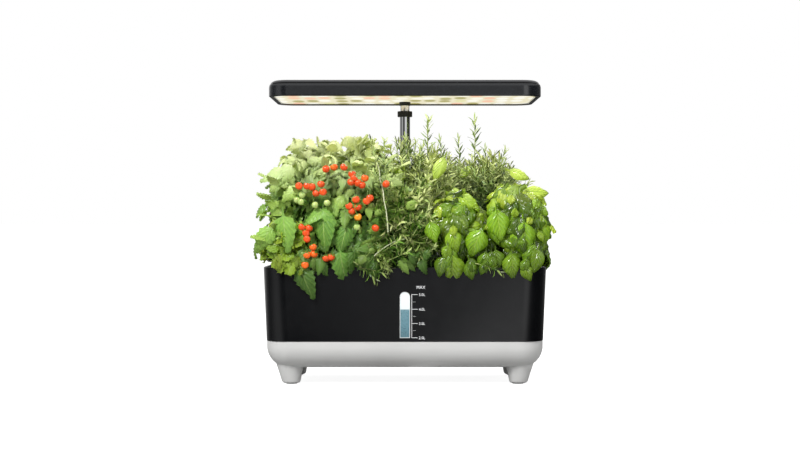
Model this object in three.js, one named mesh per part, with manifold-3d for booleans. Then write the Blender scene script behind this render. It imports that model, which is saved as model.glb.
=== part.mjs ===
// Countertop hydroponic garden: a water tank in a round-edged base, a deck of nine pods, and a
// lamp on a telescoping mast. Millimetres, +Z up, the front towards -Y. The origin is on the
// table under the middle of the tank.
import * as THREE from "three";
import { mergeVertices } from "three/addons/utils/BufferGeometryUtils.js";
import Module from "manifold-3d";

const wasm = await Module();
wasm.setup();

// Clearances
const fitGap = 0.3;
const leafGap = 1.2;
const cutOverrun = 2;
const weldDistance = 0.0001;

// Tank: straight walls that open towards the rim
const rimHeight = 145;
const rimWidth = 350;
const rimDepth = 175;
const seamHeight = 54;
const seamWidth = 343;
const seamDepth = 168;
const tankCornerRadius = 29;
const tankWall = 3.6;
const tankFloorWall = 2.2;
const rimWall = 1.8;
const rimChamfer = 0.7;
const stepWall = 2;

// Base: the bowl that the tank stands in
const undersideHeight = 20.6;
const baseWidth = 342.3;
const baseDepth = 167.3;
const baseCornerRadius = 30;
const baseEdgeRadius = 27;
const baseWall = 2.4;

// Feet and pads
const footX = 140.5;
const footY = 52.5;
const footTopRadius = 17.5;
const footBottomRadius = 11;
const footEdgeRadius = 3;
const footTopHeight = 32;
const footPegRadius = 4;
const padRadius = 7;
const padThickness = 1.8;
const padProud = 0.8;

// Water level window
const windowWidth = 12.6;
const windowSill = 4.7;
const windowHeader = 29.7;
const windowBottom = seamHeight + windowSill;
const windowTop = rimHeight - windowHeader;
const windowFlange = 2;
const windowFlangeThickness = 1.6;
const gasketThickness = 1.2;

// Deck and its pods
const deckSink = 4;
const deckTop = rimHeight - deckSink;
const deckThickness = 3;
const deckSkirtHeight = 8;
const deckSkirtWall = 2;
const podSpacing = 65;
const rearPodOffset = 35;
const podRowY = 36;
const basketRadius = 16.6;
const basketBottomRadius = 11;
const basketDepth = 42;
const basketWall = 1.3;
const basketFlangeRadius = 19.5;
const basketFlangeThickness = 1.6;
const basketSlotWidth = 3.2;
const basketSlotHeight = 22;
const basketSlots = 6;
const basketDrainRadius = 4;
const spongeHeight = 34;
const stemRadius = 3;

// Filling port and its flap
const portX = 146;
const portY = 40;
const portWidth = 28;
const portDepth = 30;
const flapMargin = 3;
const flapThickness = 2.2;
const flapTabWidth = 12;
const flapTabReach = 4;
const knuckleRadius = 2.6;
const knuckleLength = 8;
const hingePinRadius = 1.2;

// Mast
const mastY = 47;
const upperTubeRadius = 6;
const tubeWall = 0.5;
const mastRise = 195;
const lowerTubeTop = rimHeight + mastRise;
const upperTubeLift = 9;
const upperTubeBottom = deckTop + upperTubeLift;
const collarOverlap = 2.7;
const collarProud = 4.7;
const collarBottom = lowerTubeTop - collarOverlap;
const collarTop = lowerTubeTop + collarProud;
const collarRadius = 9.65;
const collarChamfer = 0.8;
const socketDrop = 23;
const socketBottom = deckTop - socketDrop;
const socketFloor = 3;
const socketRise = 17;
const socketTop = deckTop + socketRise;
const socketWall = 2.4;
const socketFlangeRadius = 14;
const socketFlangeThickness = 2.5;

// Lamp
const lampLift = 15;
const lampBottom = lowerTubeTop + lampLift;
const lampHeight = 20;
const lampWidth = 336;
const lampDepth = 175;
const lampCornerRadius = 24;
const lampTopRadius = 9.5;
const lampBottomChamfer = 1;
const lampWall = 4;
const lampGrooveDepthFromTop = 3.6;
const lampGrooveWidth = 0.6;
const bezelLip = 6.5;
const bezelLipThickness = 1.6;
const boardLedge = 1.2;
const diffuserThickness = 2;
const ledBoardHeight = 6;
const ledBoardThickness = 1.6;
const ledColumns = 9;
const ledRows = 4;
const ledSpacingX = 35;
const ledSpacingY = 36;
const ledSize = 3.5;
const ledHeight = 1.2;
const coverThickness = 2;
const coverSkirtWall = 1.6;
const coverSkirtHeight = 4.6;
const bossRadius = 7.4;
const bossDrop = 3;
const bossFlangeRadius = 12;
const bossFlangeThickness = 2.5;
const bossCeiling = 1.4;

// Keys and their board in the lamp's top
const keyRadius = 6;
const keySpacing = 28;
const keyY = -60;
const keyProud = 0.8;
const keyTravel = 0.8;
const keyFlange = 1.6;
const keyFlangeThickness = 1.6;
const switchSize = 6;
const switchHeight = 3;
const controlBoardWidth = 64;
const controlBoardDepth = 20;
const controlBoardThickness = 1.6;
const boardPostRadius = 1.5;
const boardPostInset = 3;

// Power inlet in the lamp's rear wall
const inletHeight = 8;
const inletRadius = 3.8;
const inletBoreRadius = 2.8;
const inletPinRadius = 1;
const inletLength = 10;
const inletFloor = 1.6;
const inletProud = 0.6;

// Pump on the tank's floor
const pumpY = 40;
const pumpWidth = 44;
const pumpHeight = 34;
const pumpBodyDepth = 26;
const pumpPocketRadius = 13;
const pumpPocketDepth = 16;
const pumpCoverThickness = 2.5;
const intakeSlotWidth = 2.4;
const intakeSlotHeight = 16;
const intakeSlots = 3;
const impellerRadius = 11;
const impellerLength = 12;
const impellerHubRadius = 4;
const bladeThickness = 1.8;
const impellerBlades = 6;
const axleRadius = 1.2;
const nozzleRadius = 4.5;
const nozzleBoreRadius = 3;
const nozzleLength = 8;

// Foliage: the space that the grown plants fill, each rising over the rim
const foliageWidth = 390;
const foliageDepth = 210;
const foliageLift = 3;
const lettuceRise = 60;
const frontTomatoRise = 120;
const rearTomatoRise = 161;
const herbRise = 95;
const basilRise = 101;
const rosemaryRise = 191;
const sideRosemaryRise = 155;
const mastKeepOut = 17;
const flapKeepOut = 26;
const leafDroop = 4;
const leafDrop = 40;
const leafWidth = 22;
const leafThickness = 2.4;
const leafRoot = 8;
const leafRootLift = 11;
const leafStandOff = 4;

// Facets
const cornerSteps = 6;
const edgeSteps = 5;
const roundSteps = 20;
const basketSteps = 12;
const smallSteps = 12;
const plantSteps = 20;
const windowSteps = 8;

// Materials
const plastic = (color, roughness) => new THREE.MeshStandardMaterial({ color, roughness, metalness: 0 });
const metal = (color, roughness) => new THREE.MeshStandardMaterial({ color, roughness, metalness: 1 });
const blackPlastic = plastic(0x1e1f22, 0.42);
const greyPlastic = plastic(0xd2d0cc, 0.5);
const lampPlastic = plastic(0x25282d, 0.4);
const rubber = plastic(0x17181a, 0.85);
const clearPlastic = new THREE.MeshStandardMaterial({
  color: 0xdfeaec,
  roughness: 0.12,
  metalness: 0,
  transparent: true,
  opacity: 0.55,
});
const litPanel = new THREE.MeshStandardMaterial({ color: 0xfff2cf, roughness: 0.4, emissive: 0xffe9b0 });
const boardWhite = plastic(0xe9e7dd, 0.6);
const boardGreen = plastic(0x1d5a3a, 0.6);
const chrome = metal(0xcfd2d4, 0.16);
const steel = metal(0xa9abac, 0.3);
const foam = plastic(0x5b4a3a, 0.95);
const lettuceLeaf = plastic(0x6f9a3a, 0.7);
const tomatoLeaf = plastic(0x5f9440, 0.7);
const herbLeaf = plastic(0x7d9c62, 0.75);
const basilLeaf = plastic(0x4c9a2c, 0.6);
const rosemaryLeaf = plastic(0x6c8666, 0.8);

const garden = new THREE.Group();

// Adds a named mesh to a group and returns it.
function piece(parent, name, geometry, material) {
  const mesh = new THREE.Mesh(geometry, material);
  mesh.name = name;
  parent.add(mesh);
  return mesh;
}

// A group at a place, for pieces that share an origin.
function groupAt(parent, x, y, z) {
  const group = new THREE.Group();
  group.position.set(x, y, z);
  parent.add(group);
  return group;
}

// A closed geometry as a solid that can be joined and cut.
function solid(geometry) {
  const bare = geometry.clone();
  bare.deleteAttribute("normal");
  bare.deleteAttribute("uv");
  const merged = mergeVertices(bare, weldDistance);
  const vertProperties = merged.attributes.position.array;
  const triVerts = new Uint32Array(merged.index.array);
  return new wasm.Manifold(new wasm.Mesh({ numProp: 3, vertProperties, triVerts }));
}

// A solid as a geometry.
function geometryOf(shape) {
  const { vertProperties, triVerts } = shape.getMesh();
  const geometry = new THREE.BufferGeometry();
  geometry.setAttribute("position", new THREE.BufferAttribute(vertProperties, 3));
  geometry.setIndex(new THREE.BufferAttribute(triVerts, 1));
  geometry.computeVertexNormals();
  return geometry;
}

const joined = (first, ...rest) => rest.reduce((sum, shape) => sum.add(shape), first);
const cutBy = (first, ...rest) => rest.reduce((left, shape) => left.subtract(shape), first);

// A surface through rings of as many points each. The ends are closed from their middles, or the
// last ring joins the first.
function loft(rings, looped = false) {
  const count = rings[0].length;
  const points = rings.flat();
  const faces = [];
  const bands = looped ? rings.length : rings.length - 1;
  for (let band = 0; band < bands; band++)
    for (let i = 0; i < count; i++) {
      const next = (i + 1) % count;
      const low = band * count;
      const high = ((band + 1) % rings.length) * count;
      faces.push(low + i, low + next, high + next, low + i, high + next, high + i);
    }
  if (!looped) {
    const middle = (ring) => ring.reduce((sum, p) => sum.add(p), new THREE.Vector3()).divideScalar(count);
    const top = points.length - count;
    const bottomMiddle = points.push(middle(rings[0])) - 1;
    const topMiddle = points.push(middle(rings[rings.length - 1])) - 1;
    for (let i = 0; i < count; i++) {
      const next = (i + 1) % count;
      faces.push(bottomMiddle, next, i, topMiddle, top + i, top + next);
    }
  }
  const geometry = new THREE.BufferGeometry().setFromPoints(points);
  geometry.setIndex(faces);
  geometry.computeVertexNormals();
  return geometry;
}

// A level rectangle with round corners, counterclockwise from +X.
function roundedRing(width, depth, radius, z) {
  const points = [];
  const signs = [[1, 1], [-1, 1], [-1, -1], [1, -1]];
  signs.forEach(([sx, sy], quarter) => {
    for (let i = 0; i <= cornerSteps; i++) {
      const angle = ((quarter + i / cornerSteps) * Math.PI) / 2;
      const x = sx * (width / 2 - radius) + radius * Math.cos(angle);
      const y = sy * (depth / 2 - radius) + radius * Math.sin(angle);
      points.push(new THREE.Vector3(x, y, z));
    }
  });
  return points;
}

// A profile of [radius, height] pairs turned round the vertical axis.
function turned(profile, steps = roundSteps) {
  const points = profile.map(([radius, height]) => new THREE.Vector2(radius, height));
  return new THREE.LatheGeometry(points, steps).rotateX(Math.PI / 2);
}

const disc = (radius, bottom, top, steps = roundSteps) =>
  turned([[0, bottom], [radius, bottom], [radius, top], [0, top]], steps);

const pipe = (outer, inner, bottom, top, steps = roundSteps) =>
  turned([[outer, bottom], [outer, top], [inner, top], [inner, bottom], [outer, bottom]], steps);

const box = (width, depth, height, x, y, bottom) =>
  new THREE.BoxGeometry(width, depth, height).translate(x, y, bottom + height / 2);

// A quarter circle as [inset, drop] pairs, from the upright side (inset 0) to the level top (drop 0).
function quarter(radius, steps) {
  const pairs = [];
  for (let i = 0; i <= steps; i++) {
    const angle = ((i / steps) * Math.PI) / 2;
    pairs.push([radius * (1 - Math.cos(angle)), radius * (1 - Math.sin(angle))]);
  }
  return pairs;
}

// The bowl of the base, drawn in by an inset: a level bottom, a round edge and an upright side.
// The tank's lower part follows the same bowl.
function bowlRings(inset, top) {
  const radius = baseEdgeRadius - inset;
  const bottom = undersideHeight + inset;
  const ringAt = (drawnIn, z) =>
    roundedRing(baseWidth - 2 * drawnIn, baseDepth - 2 * drawnIn, baseCornerRadius - drawnIn, z);
  const rings = quarter(radius, edgeSteps)
    .reverse()
    .map(([side, drop]) => ringAt(inset + side, bottom + drop));
  rings.push(ringAt(inset, top));
  return rings;
}

const feet = [
  ["front_left", -1, -1],
  ["front_right", 1, -1],
  ["rear_left", -1, 1],
  ["rear_right", 1, 1],
];

function makeBase() {
  const shell = solid(loft([...bowlRings(0, seamHeight), ...bowlRings(baseWall, seamHeight).reverse()]));
  const holeTop = undersideHeight + baseWall + cutOverrun;
  const pegHole = disc(footPegRadius + fitGap, undersideHeight - cutOverrun, holeTop, smallSteps);
  const holes = feet.map(([, sx, sy]) => solid(pegHole.clone().translate(sx * footX, sy * footY, 0)));
  piece(garden, "base_shell", geometryOf(cutBy(shell, ...holes)), greyPlastic);
}

// Feet: tapered rounds whose tops follow the bowl, with a peg up into the base and a rubber pad below.
function makeFeet() {
  const bowl = solid(loft(bowlRings(-fitGap, seamHeight)));
  const edge = quarter(footEdgeRadius, 2)
    .reverse()
    .map(([side, drop]) => [footBottomRadius - side, padProud + drop]);
  const cone = turned([[0, padProud], ...edge, [footTopRadius, footTopHeight], [0, footTopHeight]]);
  const peg = disc(footPegRadius, undersideHeight - footEdgeRadius, undersideHeight + baseWall, smallSteps);
  const recess = solid(disc(padRadius + fitGap, -cutOverrun, padThickness + fitGap, smallSteps));
  for (const [place, sx, sy] of feet) {
    const at = groupAt(garden, sx * footX, sy * footY, 0);
    const trimmed = cutBy(solid(cone), bowl.translate([-sx * footX, -sy * footY, 0]), recess);
    piece(at, "foot_" + place, geometryOf(joined(trimmed, solid(peg))), greyPlastic);
    piece(at, "pad_" + place, disc(padRadius, 0, padThickness, smallSteps), rubber);
  }
}

// Tank: its level outline at a height, drawn in by an inset.
function tankRing(z, inset) {
  const share = (z - seamHeight) / (rimHeight - seamHeight);
  const width = THREE.MathUtils.lerp(seamWidth, rimWidth, share);
  const depth = THREE.MathUtils.lerp(seamDepth, rimDepth, share);
  return roundedRing(width - 2 * inset, depth - 2 * inset, tankCornerRadius - inset, z);
}

const ledgeHeight = deckTop - deckThickness - fitGap;
const wallLean = Math.atan2((rimDepth - seamDepth) / 2, rimHeight - seamHeight);

// The front wall's own frame: x to the right, y up the outside of the wall, z out of it.
const frontWall = groupAt(garden, 0, -seamDepth / 2, seamHeight);
frontWall.rotation.x = Math.PI / 2 + wallLean;
frontWall.updateMatrix();

// The window's outline grown by a margin: square below, round above.
function windowOutline(margin) {
  const half = windowWidth / 2 + margin;
  const bottom = (windowBottom - seamHeight) / Math.cos(wallLean) - margin;
  const top = (windowTop - seamHeight) / Math.cos(wallLean) + margin;
  const shape = new THREE.Shape();
  shape.moveTo(-half, bottom);
  shape.lineTo(half, bottom);
  shape.lineTo(half, top - half);
  shape.absarc(0, top - half, half, 0, Math.PI, false);
  return shape;
}

function plate(shape, back, front) {
  const options = { depth: front - back, bevelEnabled: false, curveSegments: windowSteps };
  return new THREE.ExtrudeGeometry(shape, options).translate(0, 0, back);
}

function makeTank() {
  const outerInset = baseWall + fitGap;
  const rings = [
    ...bowlRings(outerInset, seamHeight + fitGap),
    tankRing(seamHeight + fitGap, 0),
    tankRing(rimHeight - rimChamfer, 0),
    tankRing(rimHeight, rimChamfer / 2),
    tankRing(rimHeight, rimWall),
    tankRing(ledgeHeight, rimWall),
    tankRing(ledgeHeight, tankWall),
    tankRing(seamHeight + fitGap + stepWall, tankWall),
    ...bowlRings(outerInset + tankFloorWall, seamHeight).reverse(),
  ];
  const opening = plate(windowOutline(fitGap), -tankWall - cutOverrun, cutOverrun);
  opening.applyMatrix4(frontWall.matrix);
  piece(garden, "reservoir", geometryOf(cutBy(solid(loft(rings)), solid(opening))), blackPlastic);
}

// Level window: a plug flush with the wall and a flange behind it, on a gasket.
function makeWindow() {
  const wallBack = -tankWall * Math.cos(wallLean);
  const gasketFront = wallBack - fitGap;
  const gasketBack = gasketFront - gasketThickness;
  const flangeFront = gasketBack - fitGap;
  const flangeBack = flangeFront - windowFlangeThickness;
  const plug = solid(plate(windowOutline(0), flangeFront - windowFlangeThickness / 2, 0));
  const flange = solid(plate(windowOutline(windowFlange), flangeBack, flangeFront));
  piece(frontWall, "level_window", geometryOf(joined(plug, flange)), clearPlastic);
  const seal = windowOutline(windowFlange);
  seal.holes.push(windowOutline(fitGap));
  piece(frontWall, "window_gasket", plate(seal, gasketBack, gasketFront), rubber);
}

// Pods in two staggered rows, counted from the left, the front row first.
const pods = [
  ...[-2, -1, 0, 1, 2].map((step) => ({ x: step * podSpacing, y: -podRowY })),
  ...[-1, 1].flatMap((side) => {
    const places = [rearPodOffset, rearPodOffset + podSpacing].map((x) => ({ x: side * x, y: podRowY }));
    return side < 0 ? places.reverse() : places;
  }),
];

// Mast sizes that the deck follows
const lowerTubeRadius = upperTubeRadius + fitGap + tubeWall;
const socketRadius = lowerTubeRadius + socketWall;

const hingeY = portY + portDepth / 2 + flapMargin + knuckleRadius;
const hingeZ = deckTop + fitGap + knuckleRadius;
const knuckleStep = knuckleLength + fitGap;

// A round bar along X.
const barX = (radius, length, x, y, z) =>
  new THREE.CylinderGeometry(radius, radius, length, smallSteps).rotateZ(Math.PI / 2).translate(x, y, z);

// Grow deck: a plate on the tank's ledge with a skirt inside the wall, pod holes, the mast's hole,
// the filling port and two hinge knuckles.
function makeDeck() {
  const underside = deckTop - deckThickness;
  const skirtBottom = underside - deckSkirtHeight;
  const skirtInset = tankWall + fitGap;
  const rings = [
    tankRing(underside, skirtInset + deckSkirtWall),
    tankRing(skirtBottom, skirtInset + deckSkirtWall),
    tankRing(skirtBottom, skirtInset),
    tankRing(underside, skirtInset),
    tankRing(underside, rimWall + fitGap),
    tankRing(deckTop, rimWall + fitGap),
  ];
  const cutBottom = underside - cutOverrun;
  const cutTop = deckTop + cutOverrun;
  const podHole = disc(basketRadius + fitGap, cutBottom, cutTop, basketSteps);
  const cuts = pods.map(({ x, y }) => solid(podHole.clone().translate(x, y, 0)));
  cuts.push(solid(disc(socketRadius + fitGap, cutBottom, cutTop).translate(0, mastY, 0)));
  cuts.push(solid(box(portWidth, portDepth, cutTop - cutBottom, portX, portY, cutBottom)));
  const knuckles = [-1, 1].flatMap((side) => {
    const x = portX + side * knuckleStep;
    const bar = barX(knuckleRadius, knuckleLength, x, hingeY, hingeZ);
    const footBottom = deckTop - deckThickness / 2;
    const foot = box(knuckleLength, 2 * knuckleRadius, hingeZ - footBottom, x, hingeY, footBottom);
    return [solid(bar), solid(foot)];
  });
  const bore = barX(hingePinRadius + fitGap, 3 * knuckleStep + cutOverrun, portX, hingeY, hingeZ);
  const deck = cutBy(joined(cutBy(solid(loft(rings)), ...cuts), ...knuckles), solid(bore));
  piece(garden, "grow_deck", geometryOf(deck), blackPlastic);
}

// Flap over the filling port, with a finger tab in front and one knuckle behind.
function makeFlap() {
  const bottom = deckTop + fitGap;
  const width = portWidth + 2 * flapMargin;
  const front = portY - portDepth / 2 - flapMargin;
  const back = hingeY - knuckleRadius - fitGap;
  const lid = solid(box(width, back - front, flapThickness, portX, (front + back) / 2, bottom));
  const tab = box(flapTabWidth, 2 * flapTabReach, flapThickness, portX, front, bottom);
  const strapDepth = hingeY - back + fitGap;
  const strap = box(knuckleLength, strapDepth, flapThickness, portX, (back + hingeY) / 2, bottom);
  const knuckle = barX(knuckleRadius, knuckleLength, portX, hingeY, hingeZ);
  const bore = barX(hingePinRadius + fitGap, knuckleLength + cutOverrun, portX, hingeY, hingeZ);
  const flap = cutBy(joined(lid, solid(tab), solid(strap), solid(knuckle)), solid(bore));
  piece(garden, "refill_hatch", geometryOf(flap), blackPlastic);
  piece(garden, "hatch_pin", barX(hingePinRadius, 3 * knuckleStep - fitGap, portX, hingeY, hingeZ), steel);
}

// Net cup: a tapered cup with a flange on the deck, side slots and a drain.
function basketGeometry() {
  const flangeBottom = fitGap;
  const flangeTop = flangeBottom + basketFlangeThickness;
  const cup = turned(
    [
      [basketDrainRadius, -basketDepth],
      [basketBottomRadius, -basketDepth],
      [basketRadius, flangeBottom],
      [basketFlangeRadius, flangeBottom],
      [basketFlangeRadius, flangeTop],
      [basketRadius - basketWall, flangeTop],
      [basketBottomRadius - basketWall, basketWall - basketDepth],
      [basketDrainRadius, basketWall - basketDepth],
      [basketDrainRadius, -basketDepth],
    ],
    basketSteps,
  );
  const slotBottom = -basketDepth + 2 * basketWall;
  const slot = box(2 * basketFlangeRadius, basketSlotWidth, basketSlotHeight, 0, 0, slotBottom);
  const slots = [];
  for (let i = 0; i < basketSlots / 2; i++) {
    const facet = Math.PI / basketSteps;
    slots.push(solid(slot.clone().rotateZ(facet + (i * 2 * Math.PI) / basketSlots)));
  }
  return geometryOf(cutBy(solid(cup), ...slots));
}

// Grow sponge: a tapered plug inside the cup's flats, bored for the stem.
function spongeGeometry() {
  const floor = basketWall - basketDepth;
  const taper = (basketRadius - basketBottomRadius) / (fitGap + basketFlangeThickness - floor);
  const radiusAt = (height) => {
    const cupRadius = basketBottomRadius - basketWall + taper * (height - floor);
    return cupRadius * Math.cos(Math.PI / basketSteps) - fitGap;
  };
  const z = floor + fitGap;
  const bottomRadius = radiusAt(z);
  const topRadius = radiusAt(z + spongeHeight);
  const bore = stemRadius + fitGap;
  const profile = [
    [bore, z],
    [bottomRadius, z],
    [topRadius, z + spongeHeight],
    [bore, z + spongeHeight],
    [bore, z],
  ];
  return turned(profile, basketSteps);
}

// Canopies: height shares run from the crown of the stem to the top, spread shares are of the
// plant's reach, and tip shares say how high the columns of leaves round it grow, in turn.
const bush = {
  heightShares: [0, 0.1, 0.2, 0.32, 0.44, 0.56, 0.68, 0.79, 0.88, 0.95, 1],
  spreadShares: [0.74, 0.88, 0.96, 1, 1, 0.99, 0.95, 0.88, 0.76, 0.57, 0.28],
  tipShares: [1, 0.95, 0.98, 0.91, 0.96],
};
const rosette = {
  heightShares: [0, 0.14, 0.3, 0.46, 0.62, 0.78, 0.9, 1],
  spreadShares: [0.74, 0.94, 1, 1, 0.92, 0.76, 0.54, 0.2],
  tipShares: [1, 0.88, 0.96, 0.84],
};
const sprigs = {
  heightShares: [0, 0.12, 0.26, 0.42, 0.58, 0.74, 0.88, 1, 0.66, 0.98],
  spreadShares: [0.7, 0.84, 0.92, 0.94, 0.9, 0.82, 0.74, 0.64, 0.3, 0.03],
  tipShares: [1, 0.66, 0.86, 0.6, 0.95, 0.64, 0.78, 0.58, 0.9, 0.62],
};
const leafShare = 0.11;
const rippleShare = 0.05;
const rippleTurnShare = 2.4;
const fullSpreadShare = 0.64;

// The plants in the order of their pods. Lean and reach shares are of the foliage's width and
// depth. Each drape is a leaf over the tank's front edge: its place as a share of the pods'
// spacing, and its share of the drop.
const plants = [
  {
    rise: lettuceRise,
    form: rosette,
    material: lettuceLeaf,
    leanShares: [-0.042, -0.046],
    reachShares: [0.107, 0.235],
    drapeShares: [[-0.46, 0.34], [-0.06, 0.42]],
  },
  {
    rise: frontTomatoRise,
    form: bush,
    material: tomatoLeaf,
    leanShares: [-0.033, -0.046],
    reachShares: [0.183, 0.248],
    drapeShares: [[-0.28, 1], [0.08, 0.46]],
  },
  {
    rise: herbRise,
    form: sprigs,
    material: herbLeaf,
    leanShares: [0.01, -0.037],
    reachShares: [0.113, 0.248],
    drapeShares: [[-0.24, 0.34], [0.22, 0.42]],
  },
  {
    rise: basilRise,
    form: bush,
    material: basilLeaf,
    leanShares: [0, -0.046],
    reachShares: [0.125, 0.248],
    drapeShares: [[-0.22, 0.55], [0.24, 0.62]],
  },
  {
    rise: basilRise,
    form: bush,
    material: basilLeaf,
    leanShares: [0.017, -0.031],
    reachShares: [0.13, 0.263],
    drapeShares: [[-0.2, 0.5], [0.2, 0.4]],
  },
  {
    rise: rearTomatoRise,
    form: bush,
    material: tomatoLeaf,
    leanShares: [-0.047, -0.009],
    reachShares: [0.177, 0.297],
    drapeShares: [],
  },
  {
    rise: rearTomatoRise,
    form: bush,
    material: tomatoLeaf,
    leanShares: [-0.043, -0.028],
    reachShares: [0.125, 0.303],
    drapeShares: [],
  },
  {
    rise: rosemaryRise,
    form: sprigs,
    material: rosemaryLeaf,
    leanShares: [0.013, -0.028],
    reachShares: [0.14, 0.303],
    drapeShares: [],
  },
  {
    rise: sideRosemaryRise,
    form: sprigs,
    material: rosemaryLeaf,
    leanShares: [0.01, 0],
    reachShares: [0.15, 0.279],
    drapeShares: [],
  },
];

// How far a plant may reach from its middle in a direction, over a height above the rim: halfway
// to each neighbour that grows higher than that, and up to the mast and the flap.
function roomFor(index, middle, along, height) {
  const pod = pods[index];
  const planes = [];
  const towards = (x, y, limit) => {
    const to = new THREE.Vector2(x - pod.x, y - pod.y);
    const distance = to.length();
    planes.push([to.divideScalar(distance), limit(distance)]);
  };
  pods.forEach(({ x, y }, other) => {
    if (other !== index && plants[other].rise + leafGap > height) towards(x, y, (d) => (d - leafGap) / 2);
  });
  towards(0, mastY, (d) => d - mastKeepOut);
  towards(portX, portY, (d) => d - flapKeepOut);
  const rooms = planes.map(([normal, limit]) => {
    const left = limit - normal.dot(middle);
    return left / Math.max(normal.dot(along), Number.EPSILON);
  });
  return Math.min(...rooms);
}

// A plant from its stem in the sponge: rings of leaves whose tips stand out and droop in turn.
function canopy(index) {
  const { rise, form, leanShares, reachShares } = plants[index];
  const span = new THREE.Vector2(foliageWidth, foliageDepth);
  const middle = new THREE.Vector2(...leanShares).multiply(span);
  const [halfWidth, halfDepth] = new THREE.Vector2(...reachShares).multiply(span);
  const level = (z, radius) => {
    const points = [];
    for (let i = 0; i < plantSteps; i++) {
      const angle = (i / plantSteps) * 2 * Math.PI;
      points.push(new THREE.Vector3(radius * Math.cos(angle), radius * Math.sin(angle), z));
    }
    return points;
  };
  const rim = rimHeight - deckTop;
  const stemBottom = basketWall + 2 * fitGap - basketDepth + spongeHeight / 2;
  const rings = [level(stemBottom, stemRadius), level(rim + foliageLift / 2, stemRadius)];
  const lowestTipShare = Math.min(...form.tipShares);
  const lastRow = form.heightShares.length - 1;
  form.heightShares.forEach((share, row) => {
    const below = row ? form.heightShares[row - 1] * lowestTipShare : 0;
    const clear = Math.max(THREE.MathUtils.lerp(foliageLift, rise, below) - leafDroop, 0);
    const ring = [];
    for (let i = 0; i < plantSteps; i++) {
      const angle = (i / plantSteps) * 2 * Math.PI;
      const along = new THREE.Vector2(Math.cos(angle), Math.sin(angle));
      const tip = (row + i) % 2;
      const ripple = rippleShare * Math.sin(rippleTurnShare * (row * plantSteps + i));
      const oval = 1 / Math.hypot(along.x / halfWidth, along.y / halfDepth);
      const spread = form.spreadShares[row];
      const room = roomFor(index, middle, along, clear) * Math.min(spread / fullSpreadShare, 1);
      const reach = Math.min(oval * spread * (1 + ripple - (tip ? 0 : leafShare)), room);
      const grown = share * (row === lastRow ? 1 : form.tipShares[i % form.tipShares.length]);
      const droop = tip && row ? leafDroop * share : 0;
      const z = rim + THREE.MathUtils.lerp(foliageLift, rise, grown) - droop;
      ring.push(new THREE.Vector3(middle.x + reach * along.x, middle.y + reach * along.y, z));
    }
    rings.push(ring);
  });
  return solid(loft(rings));
}

// A leaf that lies over the tank's front edge and hangs in front of it.
function drape([acrossShare, dropShare]) {
  const front = podRowY - rimDepth / 2;
  const rim = rimHeight - deckTop;
  const drop = dropShare * leafDrop;
  const spine = [
    [front + leafRoot, rim + leafRootLift],
    [front - leafStandOff, rim + leafStandOff],
    [front - leafStandOff, rim - drop / 2],
    [front - leafStandOff, rim - drop],
  ];
  const widthShares = [0.4, 0.8, 1, 0.1];
  const rings = spine.map(([y, z], i) => {
    const [fromY, fromZ] = spine[Math.max(i - 1, 0)];
    const [toY, toZ] = spine[Math.min(i + 1, spine.length - 1)];
    const run = new THREE.Vector2(toY - fromY, toZ - fromZ).normalize();
    const half = (widthShares[i] * leafWidth) / 2;
    const thick = leafThickness / 2;
    const x = acrossShare * podSpacing;
    return [[half, 0], [0, thick], [-half, 0], [0, -thick]].map(
      ([side, out]) => new THREE.Vector3(x + side, y + out * run.y, z - out * run.x),
    );
  });
  return solid(loft(rings));
}

function makePods() {
  const basket = basketGeometry();
  const sponge = spongeGeometry();
  pods.forEach((pod, i) => {
    const at = groupAt(garden, pod.x, pod.y, deckTop);
    piece(at, "basket_" + (i + 1), basket, blackPlastic);
    piece(at, "sponge_" + (i + 1), sponge, foam);
    const drapes = plants[i].drapeShares.map(drape);
    piece(at, "plant_" + (i + 1), geometryOf(joined(canopy(i), ...drapes)), plants[i].material);
  });
}

// Mast: a socket through the deck, the fixed tube with its collar, and the sliding tube.
const mast = groupAt(garden, 0, mastY, 0);

function makeMast() {
  const socketBore = lowerTubeRadius + fitGap;
  const flangeBottom = deckTop + fitGap;
  const flangeTop = flangeBottom + socketFlangeThickness;
  const tubeBottom = socketBottom + socketFloor + fitGap;
  const socket = [
    [0, socketBottom],
    [socketRadius, socketBottom],
    [socketRadius, flangeBottom],
    [socketFlangeRadius, flangeBottom],
    [socketFlangeRadius, flangeTop],
    [socketRadius, flangeTop + socketFlangeThickness],
    [socketRadius, socketTop - collarChamfer],
    [socketRadius - collarChamfer, socketTop],
    [socketBore, socketTop],
    [socketBore, socketBottom + socketFloor],
    [0, socketBottom + socketFloor],
  ];
  piece(mast, "mast_socket", turned(socket), blackPlastic);
  const lowerTube = pipe(lowerTubeRadius, upperTubeRadius + fitGap, tubeBottom, lowerTubeTop);
  piece(mast, "mast_lower_tube", lowerTube, chrome);
  const seatHeight = lowerTubeTop + fitGap;
  const collar = [
    [lowerTubeRadius + fitGap, collarBottom],
    [collarRadius - collarChamfer, collarBottom],
    [collarRadius, collarBottom + collarChamfer],
    [collarRadius, collarTop - collarChamfer],
    [collarRadius - collarChamfer, collarTop],
    [upperTubeRadius + fitGap, collarTop],
    [upperTubeRadius + fitGap, seatHeight],
    [lowerTubeRadius + fitGap, seatHeight],
    [lowerTubeRadius + fitGap, collarBottom],
  ];
  piece(mast, "mast_collar", turned(collar), blackPlastic);
  const upperTubeTop = lampBottom + boardTop + fitGap + bossFlangeThickness - bossCeiling - fitGap;
  const upperTube = pipe(upperTubeRadius, upperTubeRadius - tubeWall, upperTubeBottom, upperTubeTop);
  piece(mast, "mast_upper_tube", upperTube, chrome);
}

// Lamp, in its own frame with z from its underside.
const lamp = groupAt(garden, 0, 0, lampBottom);
const boardTop = ledBoardHeight + ledBoardThickness;
const lampCurveBottom = lampHeight - lampTopRadius;

const lampRing = (z, inset) =>
  roundedRing(lampWidth - 2 * inset, lampDepth - 2 * inset, lampCornerRadius - inset, z);

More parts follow.
